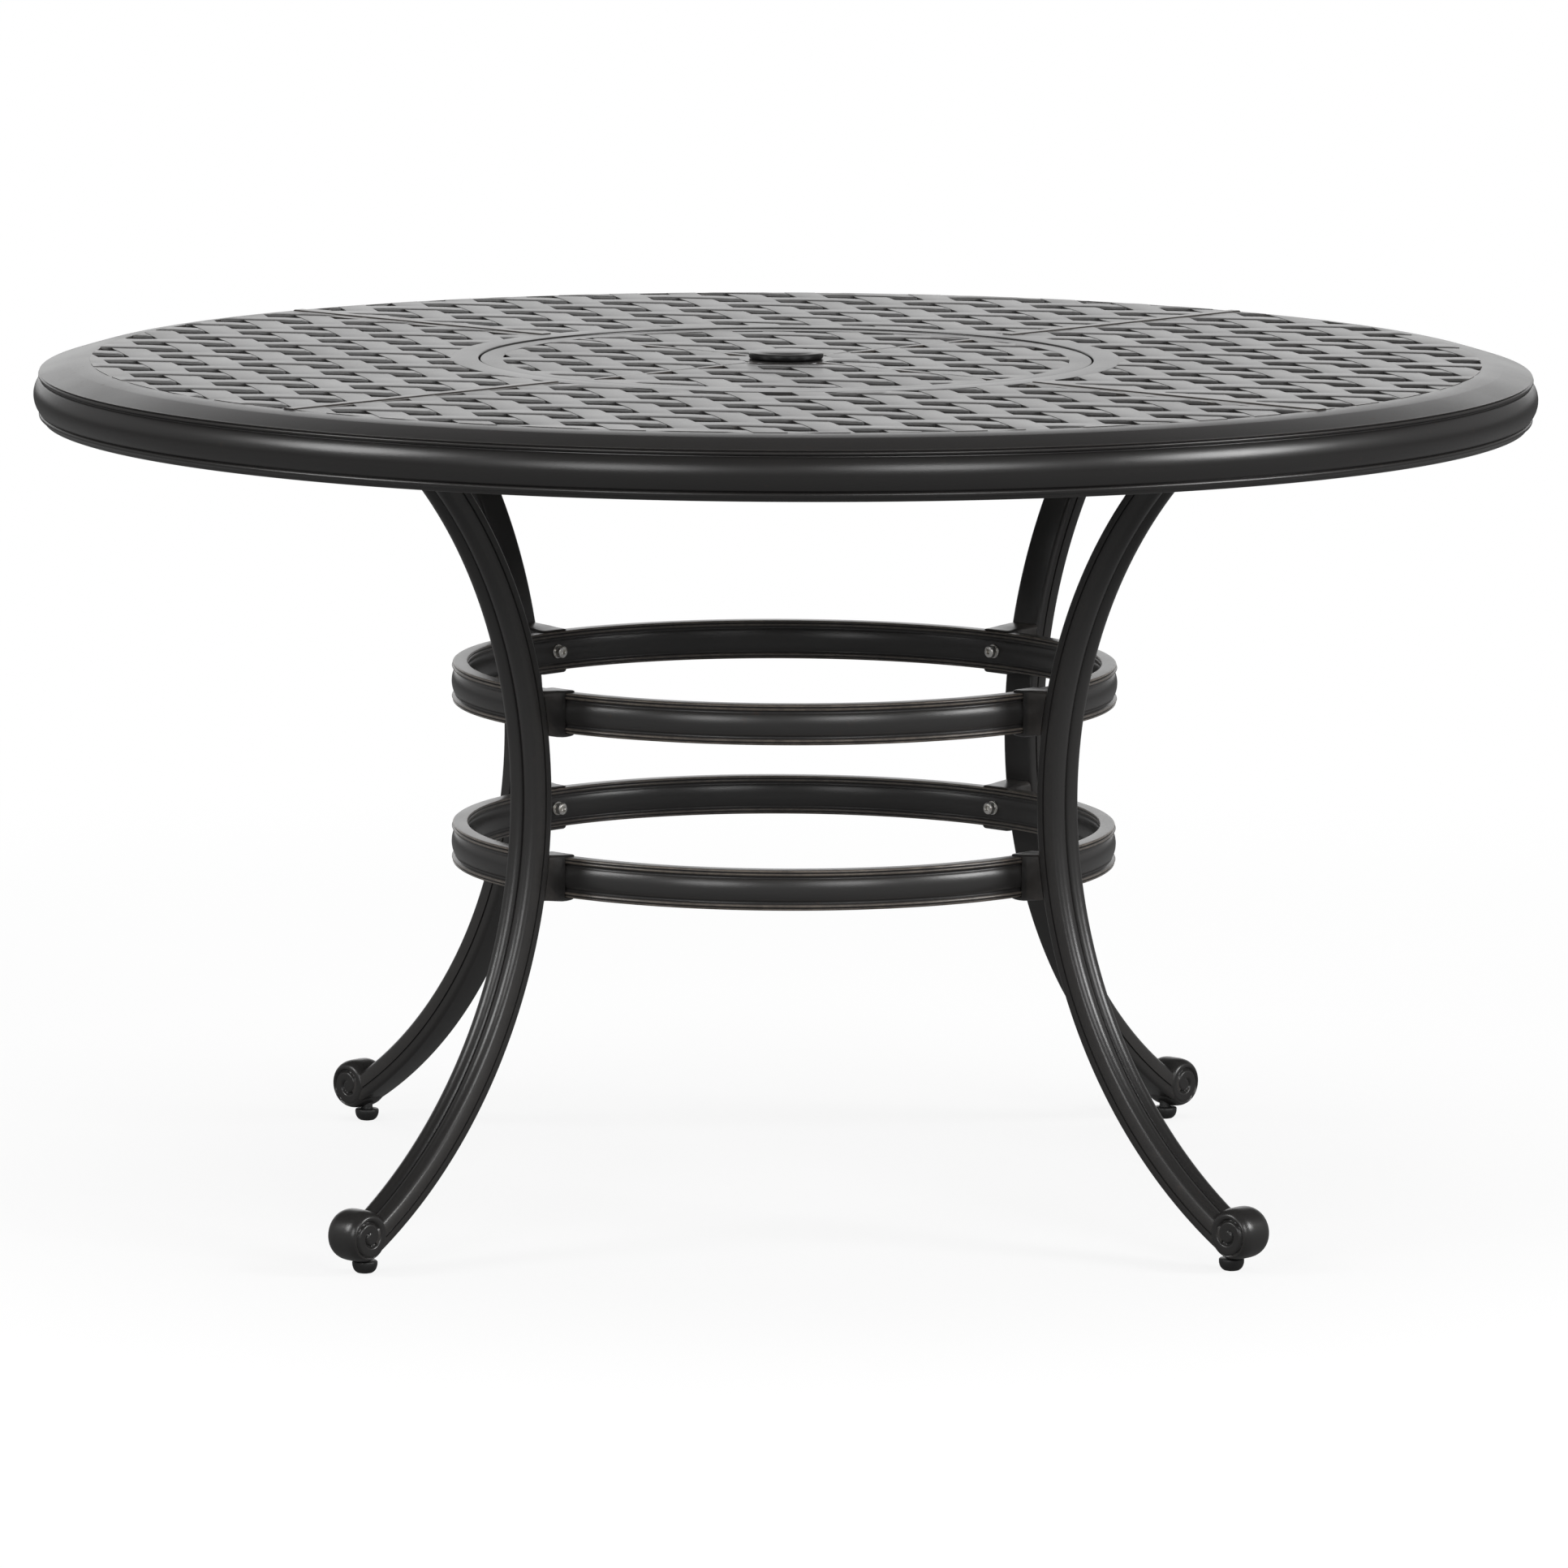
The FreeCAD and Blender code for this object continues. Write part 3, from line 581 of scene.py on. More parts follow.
def run_nodes(name: str, source: bpy.types.Mesh, tree: bpy.types.NodeTree, values: dict) -> bpy.types.Mesh:
    """Run a Geometry Nodes tree on a mesh and keep the plain result.

    Args:
        name: name of the result.
        source: the mesh it starts from.
        tree: the tree.
        values: its inputs by name.

    Returns:
        The resulting mesh.
    """
    carrier = bpy.data.objects.new(name + "_carrier", source)
    bpy.context.scene.collection.objects.link(carrier)
    modifier = carrier.modifiers.new("nodes", "NODES")
    modifier.node_group = tree
    for item in tree.interface.items_tree:
        if item.item_type == "SOCKET" and item.in_out == "INPUT" and item.name in values:
            modifier[item.identifier] = values[item.name]
    carrier.update_tag()
    graph = bpy.context.evaluated_depsgraph_get()
    graph.update()
    result = bpy.data.meshes.new_from_object(carrier.evaluated_get(graph), depsgraph=graph)
    carrier.modifiers.remove(modifier)
    bpy.data.objects.remove(carrier)
    result.name = name
    return result


# ---------------------------------------------------------------- geometry node trees


class WeaveTree:
    """Geometry Nodes that weave strips over and under each other inside a closed region.

    Each set has a middle strip and half_count more to each side, and a strip has as many crossings to each side.
    """

    half_count: int = 24
    rings_per_pitch: int = 8
    steepness: float = 2.6

    def __init__(self) -> None:
        """Build the tree once for every woven field."""
        self.nodes, self.start = new_tree("weave", "Region", (
            "Pitch", "Width", "Thickness", "Relief", "Level", "Shift", "Weft Angle", "Warp Angle", "Corner"),
            ("Parity",))
        self._build()

    def _strip(self) -> Signal:
        """One wavy strip along X, high over x = 0.

        Returns:
            The strip's mesh.
        """
        nodes = self.nodes
        pitch = self.start.out("Pitch")
        reach = pitch * float(self.half_count)
        line = nodes.node("GeometryNodeCurvePrimitiveLine", None, {
            "Start": nodes.vector(reach * -1.0), "End": nodes.vector(reach)}).out()
        line = nodes.node("GeometryNodeResampleCurve", None, {
            "Curve": line, "Count": 2 * self.half_count * self.rings_per_pitch + 1}).out()
        along = nodes.node("ShaderNodeSeparateXYZ", None, {
            "Vector": nodes.node("GeometryNodeInputPosition").out()}).out("X")
        wave = (along / pitch * math.pi).math("COSINE") * self.steepness
        crest = wave.math("MAXIMUM", -1.0).math("MINIMUM", 1.0)
        lift = crest * self.start.out("Relief") * 0.5
        line = nodes.node("GeometryNodeSetPosition", None, {
            "Geometry": line, "Offset": nodes.vector(0.0, 0.0, lift)}).out()
        line = nodes.node("GeometryNodeSetCurveNormal", {"mode": "Z_UP"}, {"Curve": line}).out()
        profile = nodes.node("GeometryNodeCurvePrimitiveQuadrilateral", None, {
            "Width": self.start.out("Width"), "Height": self.start.out("Thickness")}).out()
        profile = nodes.node("GeometryNodeFilletCurve", {"mode": "POLY"}, {
            "Curve": profile, "Radius": self.start.out("Corner"), "Count": 2}).out()
        return nodes.node("GeometryNodeCurveToMesh", None, {
            "Curve": line, "Profile Curve": profile, "Fill Caps": True}).out()

    def _set(self, strip: Signal, own: Signal, other: Signal, swap: Signal) -> Signal:
        """Strips of one direction, every other one moved on by a crossing.

        Args:
            strip: the wavy strip.
            own: angle of this set's strips.
            other: angle along which they are set out.
            swap: 1 moves the even strips, 0 the odd ones; the middle strip is even.

        Returns:
            The realised set.
        """
        nodes = self.nodes
        pitch = self.start.out("Pitch")
        index = nodes.node("GeometryNodeInputIndex").out()
        rank = index - float(self.half_count)
        step = pitch * rank
        odd = (index + swap) % 2.0
        slide = pitch * odd
        warp = self.start.out("Warp Angle")
        shift = self.start.out("Shift")
        x = own.math("COSINE") * slide + other.math("COSINE") * step + warp.math("COSINE") * shift
        y = own.math("SINE") * slide + other.math("SINE") * step + warp.math("SINE") * shift
        points = nodes.node("GeometryNodePoints", None, {
            "Count": 2 * self.half_count + 1, "Position": nodes.vector(x, y, self.start.out("Level"))}).out()
        rotation = nodes.vector(0.0, 0.0, own)
        placed = nodes.node("GeometryNodeInstanceOnPoints", None, {
            "Points": points, "Instance": strip, "Rotation": rotation}).out()
        return nodes.node("GeometryNodeRealizeInstances", None, {"Geometry": placed}).out()

    def _build(self) -> None:
        """Weave both sets and cut them to the region."""
        nodes = self.nodes
        strip = self._strip()
        weft_angle = self.start.out("Weft Angle")
        warp_angle = self.start.out("Warp Angle")
        parity = self.start.out("Parity")
        weft = self._set(strip, weft_angle, warp_angle, parity + 1.0)
        warp = self._set(strip, warp_angle, weft_angle, parity)
        union = nodes.node("GeometryNodeMeshBoolean", {"operation": "UNION", "solver": "MANIFOLD"})
        for part in (weft, warp):
            nodes.tree.links.new(part.socket, union.item.inputs["Mesh 2"])
        cut = nodes.node("GeometryNodeMeshBoolean", {"operation": "INTERSECT", "solver": "MANIFOLD"})
        for part in (union.out(), self.start.out("Region")):
            nodes.tree.links.new(part.socket, cut.item.inputs["Mesh 2"])
        nodes.deliver(cut.out(), self.start.out("Finish"))


class CopiesTree:
    """Geometry Nodes that set copies of a small piece out at quarter turns, on two levels."""

    quarters: int = 4

    def __init__(self) -> None:
        """Build the tree once for every kind of fastener."""
        self.nodes, start = new_tree("copies", "Piece", (
            "First Radius", "Second Radius", "First Level", "Second Level"))
        nodes = self.nodes
        index = nodes.node("GeometryNodeInputIndex").out()
        second = index.math("GREATER_THAN", self.quarters - 0.5)
        turn = (index % float(self.quarters)) * (math.pi / 2) + math.pi / 4
        first_radius = start.out("First Radius")
        radius = first_radius + (start.out("Second Radius") - first_radius) * second
        first_level = start.out("First Level")
        level = first_level + (start.out("Second Level") - first_level) * second
        place = nodes.vector(turn.math("COSINE") * radius, turn.math("SINE") * radius, level)
        points = nodes.node("GeometryNodePoints", None, {"Count": 2 * self.quarters, "Position": place}).out()
        copies = nodes.node("GeometryNodeInstanceOnPoints", None, {
            "Points": points, "Instance": start.out("Piece"), "Rotation": nodes.vector(z=turn)}).out()
        nodes.deliver(copies, start.out("Finish"))


# ---------------------------------------------------------------- table top


@dataclass
class Weave:
    """Sizes of the woven lattice, in millimetres and degrees."""

    pitch: float = 60.3
    axis: float = 45.0
    lean: float = 57.2
    strip_width: float = 27.6
    thickness: float = 5.1
    relief: float = 0.42
    corner: float = 0.3

    def field_mesh(self, name: str, region: bpy.types.Mesh, tree: WeaveTree, top: float, shift: float,
                   finish: bpy.types.Material) -> bpy.types.Mesh:
        """Woven field inside a region.

        Args:
            name: name of the mesh.
            region: closed mesh that bounds the field.
            tree: the weaving tree.
            top: level of the highest strips.
            shift: how far the weave is moved along its warp.
            finish: its material.

        Returns:
            The woven mesh.
        """
        mesh = run_nodes(name, region, tree.nodes.tree, {
            "Pitch": self.pitch * MM,
            "Width": self.strip_width * MM,
            "Thickness": self.thickness * MM,
            "Relief": self.relief * MM,
            "Level": (top - self.relief / 2 - self.thickness / 2) * MM,
            "Shift": shift * MM,
            "Weft Angle": math.radians(self.axis - self.lean),
            "Warp Angle": math.radians(self.axis + self.lean),
            "Corner": self.corner * MM,
            "Parity": 0,
            "Finish": finish,
        })
        shade(mesh, 35.0)
        return mesh


def ring_sector(name: str, inner: float, outer: float, low: float, high: float, start: float, end: float,
                inset: float, steps: int) -> bpy.types.Mesh:
    """Closed prism over part of a ring whose straight sides are moved in by an inset.

    Args:
        name: name of the mesh.
        inner: inner radius.
        outer: outer radius.
        low: lower level.
        high: upper level.
        start: angle of the first side in degrees.
        end: angle of the last side in degrees.
        inset: distance from the rays to the straight sides.
        steps: segments of each arc.

    Returns:
        The prism.
    """
    outline = []
    for radius, ends in ((inner, (start, end)), (outer, (end, start))):
        slack = math.degrees(math.asin(inset / radius))
        first = ends[0] + (slack if ends[0] == start else -slack)
        last = ends[1] + (slack if ends[1] == start else -slack)
        outline += arc_points((0, 0), radius, first, last, steps)
    return prism(name, outline, (low, high))


@dataclass
class WovenPanel:
    """One of the four woven panels between the spokes."""

    label: str
    angle: float
    shift: float
    first_margin: float
    second_margin: float
    inner_radius: float = 293.5
    outer_radius: float = 611.0
    top: float = 746.0
    plate: float = 6.0
    spoke_inset: float = 6.5
    margin_drop: float = 0.2
    overlap: float = 1.0

    def mesh(self, weave: Weave, tree: WeaveTree, finish: bpy.types.Material) -> bpy.types.Mesh:
        """Woven field of the panel with the plain margins beside its spokes.

        Args:
            weave: sizes of the weave.
            tree: the weaving tree.
            finish: the material.

        Returns:
            The panel's mesh.
        """
        low = self.top - self.plate - self.overlap
        region = ring_sector("region", self.inner_radius, self.outer_radius, low, self.top + self.overlap,
                             self.angle, self.angle + 90, self.spoke_inset, 48)
        woven = weave.field_mesh("woven", region, tree, self.top, self.shift, finish)
        return join_meshes("panel", [woven] + self._margins(), 28.0)

    def _margins(self) -> list[bpy.types.Mesh]:
        """Plain strips beside the two spokes.

        Returns:
            One flat strip for each spoke.
        """
        strips = []
        high = self.top - self.margin_drop
        low = self.top - self.plate
        for ray, side, width in ((self.angle, 1, self.first_margin), (self.angle + 90, -1, self.second_margin)):
            near = self.spoke_inset
            far = near + width + self.overlap
            first = self.inner_radius + self.overlap
            last = self.outer_radius - self.overlap
            outline = [(math.sqrt(radius ** 2 - reach ** 2), side * reach)
                       for radius, reach in ((first, near), (last, near), (last, far), (first, far))]
            strips.append(place_mesh(prism("margin", outline, (low, high)), math.radians(ray)))
        return strips

    def build(self, weave: Weave, tree: WeaveTree, finishes: Finishes) -> None:
        """Make the panel and show it in place of its CAD node."""
        mesh = self.mesh(weave, tree, finishes.coat)
        show("woven_panel_" + self.label, mesh, finishes.coat, "lattice_panel_" + self.label)


@dataclass
class TopFrame:
    """Rim with its rolled edge, spokes and fixed band."""

    top: float = 746.0
    underside: float = 734.0
    lattice_radius: float = 610.0
    band_inner: float = 270.5
    band_outer: float = 295.0
    spoke_width: float = 15.0
    spoke_rise: float = 0.8
    spoke_lap: float = 1.5
    bullnose_centre: Point = (638.6, 716.0)
    bullnose_radius: float = 21.79
    segments: int = 288

    def rim_profile(self) -> list[Point]:
        """Outline of the rim in radius and height.

        Returns:
            Points from the lattice's edge over the border, down the rolled edge and back under.
        """
        outline = [(self.lattice_radius, 744.6), (610.6, 745.5), (611.6, 745.7), (620.0, 744.75)]
        outline += [(629.0, 743.6), (630.3, 743.25)]
        outline += [(633.0, 742.5), (640.0, 740.5), (648.0, 738.1), (652.0, 736.9), (654.4, 736.15), (655.2, 735.95)]
        outline += [(655.4, 735.65), (654.8, 735.4), (654.6, 735.0), (654.9, 734.6)]
        outline += [(655.7, 734.3), (656.1, 733.7), (656.1, 732.9), (655.6, 732.0), (654.7, 731.2)]
        outline += [(653.9, 730.8), (654.0, 730.3)]
        outline += arc_points(self.bullnose_centre, self.bullnose_radius, 40.0, -40.0, 20)
        outline += [(654.3, 701.6), (653.8, 701.0), (654.4, 700.6)]
        outline += arc_points((653.6, 699.0), 2.2, 55.0, -55.0, 6)
        outline += [(654.0, 696.9), (653.0, 696.4), (652.4, 695.8), (652.0, 694.6), (651.2, 693.4), (650.0, 693.0)]
        outline += [(646.2, 693.0), (645.2, 693.6), (645.0, 694.8), (645.0, self.underside)]
        outline.append((self.lattice_radius, self.underside))
        return outline

    def build(self, finishes: Finishes) -> None:
        """Make the frame and show it in place of its CAD node.

        Args:
            finishes: the finishes of the table.
        """
        rim = lathe("rim", self.rim_profile(), self.segments, 40.0)
        band = lathe("band", rounded([
            (self.band_inner, self.underside, 0), (self.band_outer, self.underside, 0),
            (self.band_outer, self.top, 1.0), (self.band_inner, self.top, 1.4)]), 192)
        spokes = [self._spoke(corner.turn) for corner in Corner]
        mesh = join_meshes("top_casting", [rim, band] + spokes, 40.0)
        show("top_casting", mesh, finishes.coat, "top_frame")

    def _spoke(self, turn: float) -> bpy.types.Mesh:
        """One spoke from the band to the rim.

        Args:
            turn: its angle about the table's axis in radians.

        Returns:
            The spoke, in place.
        """
        half = self.spoke_width / 2
        high = self.top + self.spoke_rise
        section = rounded([
            (-half, self.underside, 0), (half, self.underside, 0),
            (half, self.top - 0.6, 0), (half - 1.2, self.top - 0.1, 0.6), (half - 2.6, high, 0.8),
            (-half + 2.6, high, 0.8), (-half + 1.2, self.top - 0.1, 0.6), (-half, self.top - 0.6, 0)])
        spoke = bar("spoke", section, self.band_outer - self.spoke_lap, self.lattice_radius + self.spoke_lap)
        return place_mesh(spoke, turn)


@dataclass
class Turntable:
    """Disc that turns about the umbrella hole."""

    top: float = 745.0
    plate: float = 5.0
    radius: float = 269.0
    border: float = 20.0
    hub: float = 42.0
    bore: float = 26.0
    rib: float = 10.0
    boss_inner: float = 31.05
    boss_outer: float = 37.05
    boss_foot: float = 734.3
    lap: float = 1.5

    def build(self, weave: Weave, tree: WeaveTree, finishes: Finishes) -> None:
        """Make the disc and show it in place of its CAD node.

        Args:
            weave: sizes of the weave.
            tree: the weaving tree.
            finishes: the finishes of the table.
        """
        low = self.top - self.plate
        inner_edge = self.radius - self.border
        ring = lathe("ring", rounded([
            (inner_edge, low, 0), (self.radius, low, 0.5), (self.radius, self.top, 1.4),
            (inner_edge, self.top, 1.0)]), 192)
        hub = lathe("hub", rounded([
            (self.bore, low, 0), (self.boss_inner, low, 0), (self.boss_inner, self.boss_foot, 0),
            (self.boss_outer, self.boss_foot, 0), (self.boss_outer, low, 0),
            (self.hub, low, 0), (self.hub, self.top, 1.0), (self.bore, self.top, 1.0)]), 96)
        region = ring_sector("region", self.hub - self.lap, inner_edge + self.lap, low - 1.0, self.top + 1.0,
                             0, NEARLY_WHOLE_TURN, 0.0, 144)
        woven = weave.field_mesh("woven", region, tree, self.top, 0.0, finishes.coat)
        ribs = [self._rib((2 * quarter + 1) * math.pi / 4, low) for quarter in range(4)]
        mesh = join_meshes("turntable_disc", [ring, hub, woven] + ribs, 28.0)
        show("turntable_disc", mesh, finishes.coat, "turntable", "turntable")

    def _rib(self, turn: float, low: float) -> bpy.types.Mesh:
        """One rib from the hub to the border.

        Args:
            turn: its angle about the table's axis in radians.
            low: level of its underside.

        Returns:
            The rib, in place.
        """
        half = self.rib / 2
        section = rounded([
            (-half, low, 0), (half, low, 0), (half, self.top - 1.2, 0), (half - 1.8, self.top, 0.8),
            (-half + 1.8, self.top, 0.8), (-half, self.top - 1.2, 0)])
        return place_mesh(bar("rib", section, self.hub - self.lap, self.radius - self.border + self.lap), turn)


@dataclass
class Plug:
    """Plug that closes the umbrella hole."""

    seat: float = 745.1
    radius: float = 33.0
    height: float = 6.5
    spigot: float = 25.95
    spigot_length: float = 6.0
    painted_lit_top_drop: float = 0.8

    def build(self, finishes: Finishes) -> None:
        """Make the plug, black on its side with the lighter coat on its top as a painted lit top, and show it in
        place of its CAD node.

        Args:
            finishes: the finishes of the table.
        """
        top = self.seat + self.height
        outline = [(0.0, top), (22.8, top - 0.1), (23.4, top - 0.4), (30.8, top - 0.5), (32.2, top - 0.9),
                   (self.radius - 0.1, top - 1.6), (self.radius, top - 2.6), (self.radius - 0.1, top - 4.6),
                   (self.radius - 1.4, self.seat + 0.2), (self.radius - 1.8, self.seat),
                   (self.spigot, self.seat), (self.spigot, self.seat - self.spigot_length),
                   (0.0, self.seat - self.spigot_length)]
        mesh = lathe("plug", outline, 96, 35.0)
        mesh.materials.append(finishes.plug_side)
        mesh.materials.append(finishes.coat)
        # The top faces take the lighter coat while the side stays black: a painted lit top over the plug's black
        # plastic.
        for face in mesh.polygons:
            if face.center.z > (top - self.painted_lit_top_drop) * MM:
                face.material_index = 1
        show("plug", mesh, finishes.plug_side, "umbrella_plug", "plug")


# ---------------------------------------------------------------- base


@dataclass
class Leg:
    """Reeded leg bowed in on one arc, with a scroll at its foot."""

    corner: Corner
    arc_reach: float = 739.007
    waist: float = 386.998
    inner: float = 428.8
    width: float = 32.8
    depth: float = 24.0
    reed_radius: float = 9.0
    corner_radius: float = 3.8
    top: float = 720.0
    scroll_reach: float = 408.207
    scroll_radius: float = 22.3
    scroll_height: float = 36.0
    scroll_shift: Point = (2.0, -2.2)
    scroll_bulge: float = 0.9
    scroll_steps: int = 96
    rounding_start: float = 0.72
    rounding_span: float = 0.28
    rounding_depth: float = 0.72
    spiral_turns: float = 2.15
    spiral_depth: float = 2.3
    spiral_width: float = 0.13
    spiral_start: float = 0.14
    spiral_end: float = 0.84
    spiral_fade: float = 0.08
    reed_gap: float = 0.35
    flange_start: float = 428.0
    flange_end: float = 530.0
    flange_half: float = 23.0
    flange_under: float = 712.0
    flange_corner: float = 6.0
    flange_chamfer: float = 0.8
    rings: int = 84

    @property
    def foot_turn(self) -> float:
        """Angle below the level at which the scroll's centre lies."""
        return math.asin((self.waist - self.scroll_height) / self.scroll_reach)

    def section(self) -> list[Point]:
        """Outline of the leg as arc radius and sideways distance.

        Returns:
            Points round the section.
        """
        half = self.width / 2
        crest = self.inner - self.depth
        middle = half / 2
        outline = [(self.inner, 0.0)]
        for step in range(6):
            turn = math.pi / 2 * step / 5
            outline.append((self.inner - self.corner_radius * (1 - math.cos(turn)),
                            half - self.corner_radius * (1 - math.sin(turn))))
        outline += [(self.inner - 7.9, half), (self.inner - 8.3, half - 1.2), (self.inner - 9.4, half - 1.2),
                    (self.inner - 9.8, half)]
        for step in range(15):
            side = half - (half - self.reed_gap) * step / 14
            outline.append((crest + sag(self.reed_radius, side - middle), side))
        outline.append((crest + sag(self.reed_radius, middle) + 0.5, 0.0))
        mirrored = [(radius, -side) for radius, side in reversed(outline[1:-1])]
        return outline + mirrored

    def _bow(self) -> bpy.types.Mesh:
        """The bowed bar from the arm down into the scroll.

        Returns:
            The bar, closed at both ends.
        """
        rows = []
        section = self.section()
        for step in range(self.rings + 1):
            share = step / self.rings
            row = []
            for radius, side in section:
                high = math.asin((self.top - self.waist) / radius)
                turn = high + (-self.foot_turn - high) * share
                row.append((self.arc_reach - radius * math.cos(turn), side, self.waist + radius * math.sin(turn)))
            rows.append(row)
        return skin("bow", rows, 40.0)

    def _scroll(self) -> bpy.types.Mesh:
        """The rolled foot: a bulbous disc with a spiral groove worked into both sides.

        Returns:
            The scroll's mesh, in place.
        """
        centre_x = self.arc_reach - self.scroll_reach * math.cos(self.foot_turn) + self.scroll_shift[0]
        centre_z = self.scroll_height + self.scroll_shift[1]
        reaches = [0.02] + [0.06 + 0.03 * step for step in range(26)] + [0.84, 0.88, 0.915, 0.945, 0.97, 0.988, 1.0]
        half = self.width / 2
        rows = []
        for side in (1, -1):
            ordered = reaches if side == 1 else list(reversed(reaches))
            for reach in ordered:
                row = []
                for step in range(self.scroll_steps):
                    turn = 2 * math.pi * step / self.scroll_steps
                    edge = max(0.0, (reach - self.rounding_start) / self.rounding_span)
                    round_off = half * self.rounding_depth * (1 - math.sqrt(max(0.0, 1 - edge ** 2)))
                    height = half - round_off + self.scroll_bulge
                    turns = (turn / (2 * math.pi) + reach * self.spiral_turns) % 1.0
                    fade = (min(1.0, max(0.0, (reach - self.spiral_start) / self.spiral_fade))
                            * min(1.0, max(0.0, (self.spiral_end - reach) / self.spiral_fade)))
                    height -= self.spiral_depth * fade * math.exp(-((turns - 0.5) / self.spiral_width) ** 2)
                    ahead, up = polar(self.scroll_radius * reach, turn)
                    row.append((centre_x + ahead, side * height, centre_z + up))
                rows.append(row)
        return skin("scroll", rows, 50.0)

    def _flange(self) -> bpy.types.Mesh:
        """Plate at the leg's top that takes the bolts.

        Returns:
            The plate, with its lower edge chamfered.
        """
        middle = (self.flange_start + self.flange_end) / 2
        low = self.flange_under
        outline = rounded([(x, y, self.flange_corner) for x, y in (
            (self.flange_start, -self.flange_half), (self.flange_end, -self.flange_half),
            (self.flange_end, self.flange_half), (self.flange_start, self.flange_half))])
        rows = [[(x, y, level) for x, y in outline] for level in (low, low + 1.0, self.top)]
        rows[0] = [(x + math.copysign(self.flange_chamfer, middle - x), y * 0.965, z) for x, y, z in rows[0]]
        return skin("flange", rows)

    def build(self, finishes: Finishes) -> None:
        """Make the leg and show it in place of its CAD node.

        Args:
            finishes: the finishes of the table.
        """
        mesh = join_meshes("leg", [self._bow(), self._scroll(), self._flange()], 40.0)
        place_mesh(mesh, self.corner.turn)
        name = "leg_" + self.corner.label
        # The leg takes the coat copy whose lighter base colour is painted light.
        show("cast_" + name, mesh, finishes.leg_coat, name)


@dataclass
class Glide:
    """Levelling foot under a scroll."""

    corner: Corner
    reach: float = 523.4

    def build(self, finishes: Finishes) -> None:
        """Make the glide and show it in place of its CAD node.

        Args:
            finishes: the finishes of the table.
        """
        outline = [(0, 0), (4.5, 0), (6.6, 0.5), (8.2, 1.6), (9.5, 3.2), (10.3, 5.0), (10.8, 7.0), (10.9, 9.4),
                   (10.6, 10.3), (9.9, 10.8), (6.2, 11.0), (5.4, 11.4), (5.2, 12.2), (5.2, 33.0), (0, 33.0)]
        mesh = lathe("glide", outline, 48, 35.0)
        place_mesh(mesh, 0.0, (*polar(self.reach, self.corner.turn), 0.0))
        name = "glide_" + self.corner.label
        show("levelling_" + name, mesh, finishes.glide, name, name)


@dataclass
class Hoop:
    """Flat hoop with a crowned outer face."""

    label: str
    level: float
    radius: float = 294.0
    depth: float = 15.0
    crown_height: float = 9.4
    crown_radius: float = 13.2
    crown_depth: float = 2.3
    inner_swell: float = 0.7

    def face(self, swell: float) -> list[Point]:
        """Upper half of a moulded face, as depth below its foremost line and height above the middle.

        Args:
            swell: how much of the relief's full depth the face has.

        Returns:
            Points from the middle up to the top edge.
        """
        points = []
        full_drop = 1 - math.sqrt(1 - (self.crown_height / self.crown_radius) ** 2)
        for step in range(9):
            height = self.crown_height * step / 8
            drop = 1 - math.sqrt(1 - (height / self.crown_radius) ** 2)
            points.append((self.crown_depth * drop / full_drop, height))
        points += [(2.9, 9.9), (3.1, 10.6), (2.9, 11.3), (2.2, 11.8), (1.2, 12.3), (0.5, 12.9), (0.2, 13.7)]
        points += [(0.5, 14.4), (1.2, 15.0), (1.7, 15.3), (1.2, 15.6), (0.9, 16.1), (1.1, 16.8)]
        points += [(1.9, 17.4), (2.7, 17.5)]
        return [(depth * swell, height) for depth, height in points]

    def build(self, finishes: Finishes) -> None:
        """Make the hoop and show it in place of its CAD node.

        Args:
            finishes: the finishes of the table.
        """
        inner = self.radius - self.depth
        outer_face = [(self.radius - depth, height) for depth, height in self.face(1.0)]
        inner_face = [(inner + depth, height) for depth, height in self.face(self.inner_swell)]
        outline = [(reach, -height) for reach, height in reversed(outer_face[1:])] + outer_face
        outline += list(reversed(inner_face)) + [(reach, -height) for reach, height in inner_face[1:]]
        mesh = lathe("hoop", outline, 192, 38.0)
        place_mesh(mesh, 0.0, (0, 0, self.level))
        # The hoop takes the coat copy whose lighter base colour is painted light, with worn pale edges.
        show("cast_%s_hoop" % self.label, mesh, finishes.worn_coat_painted_light, self.label + "_hoop")


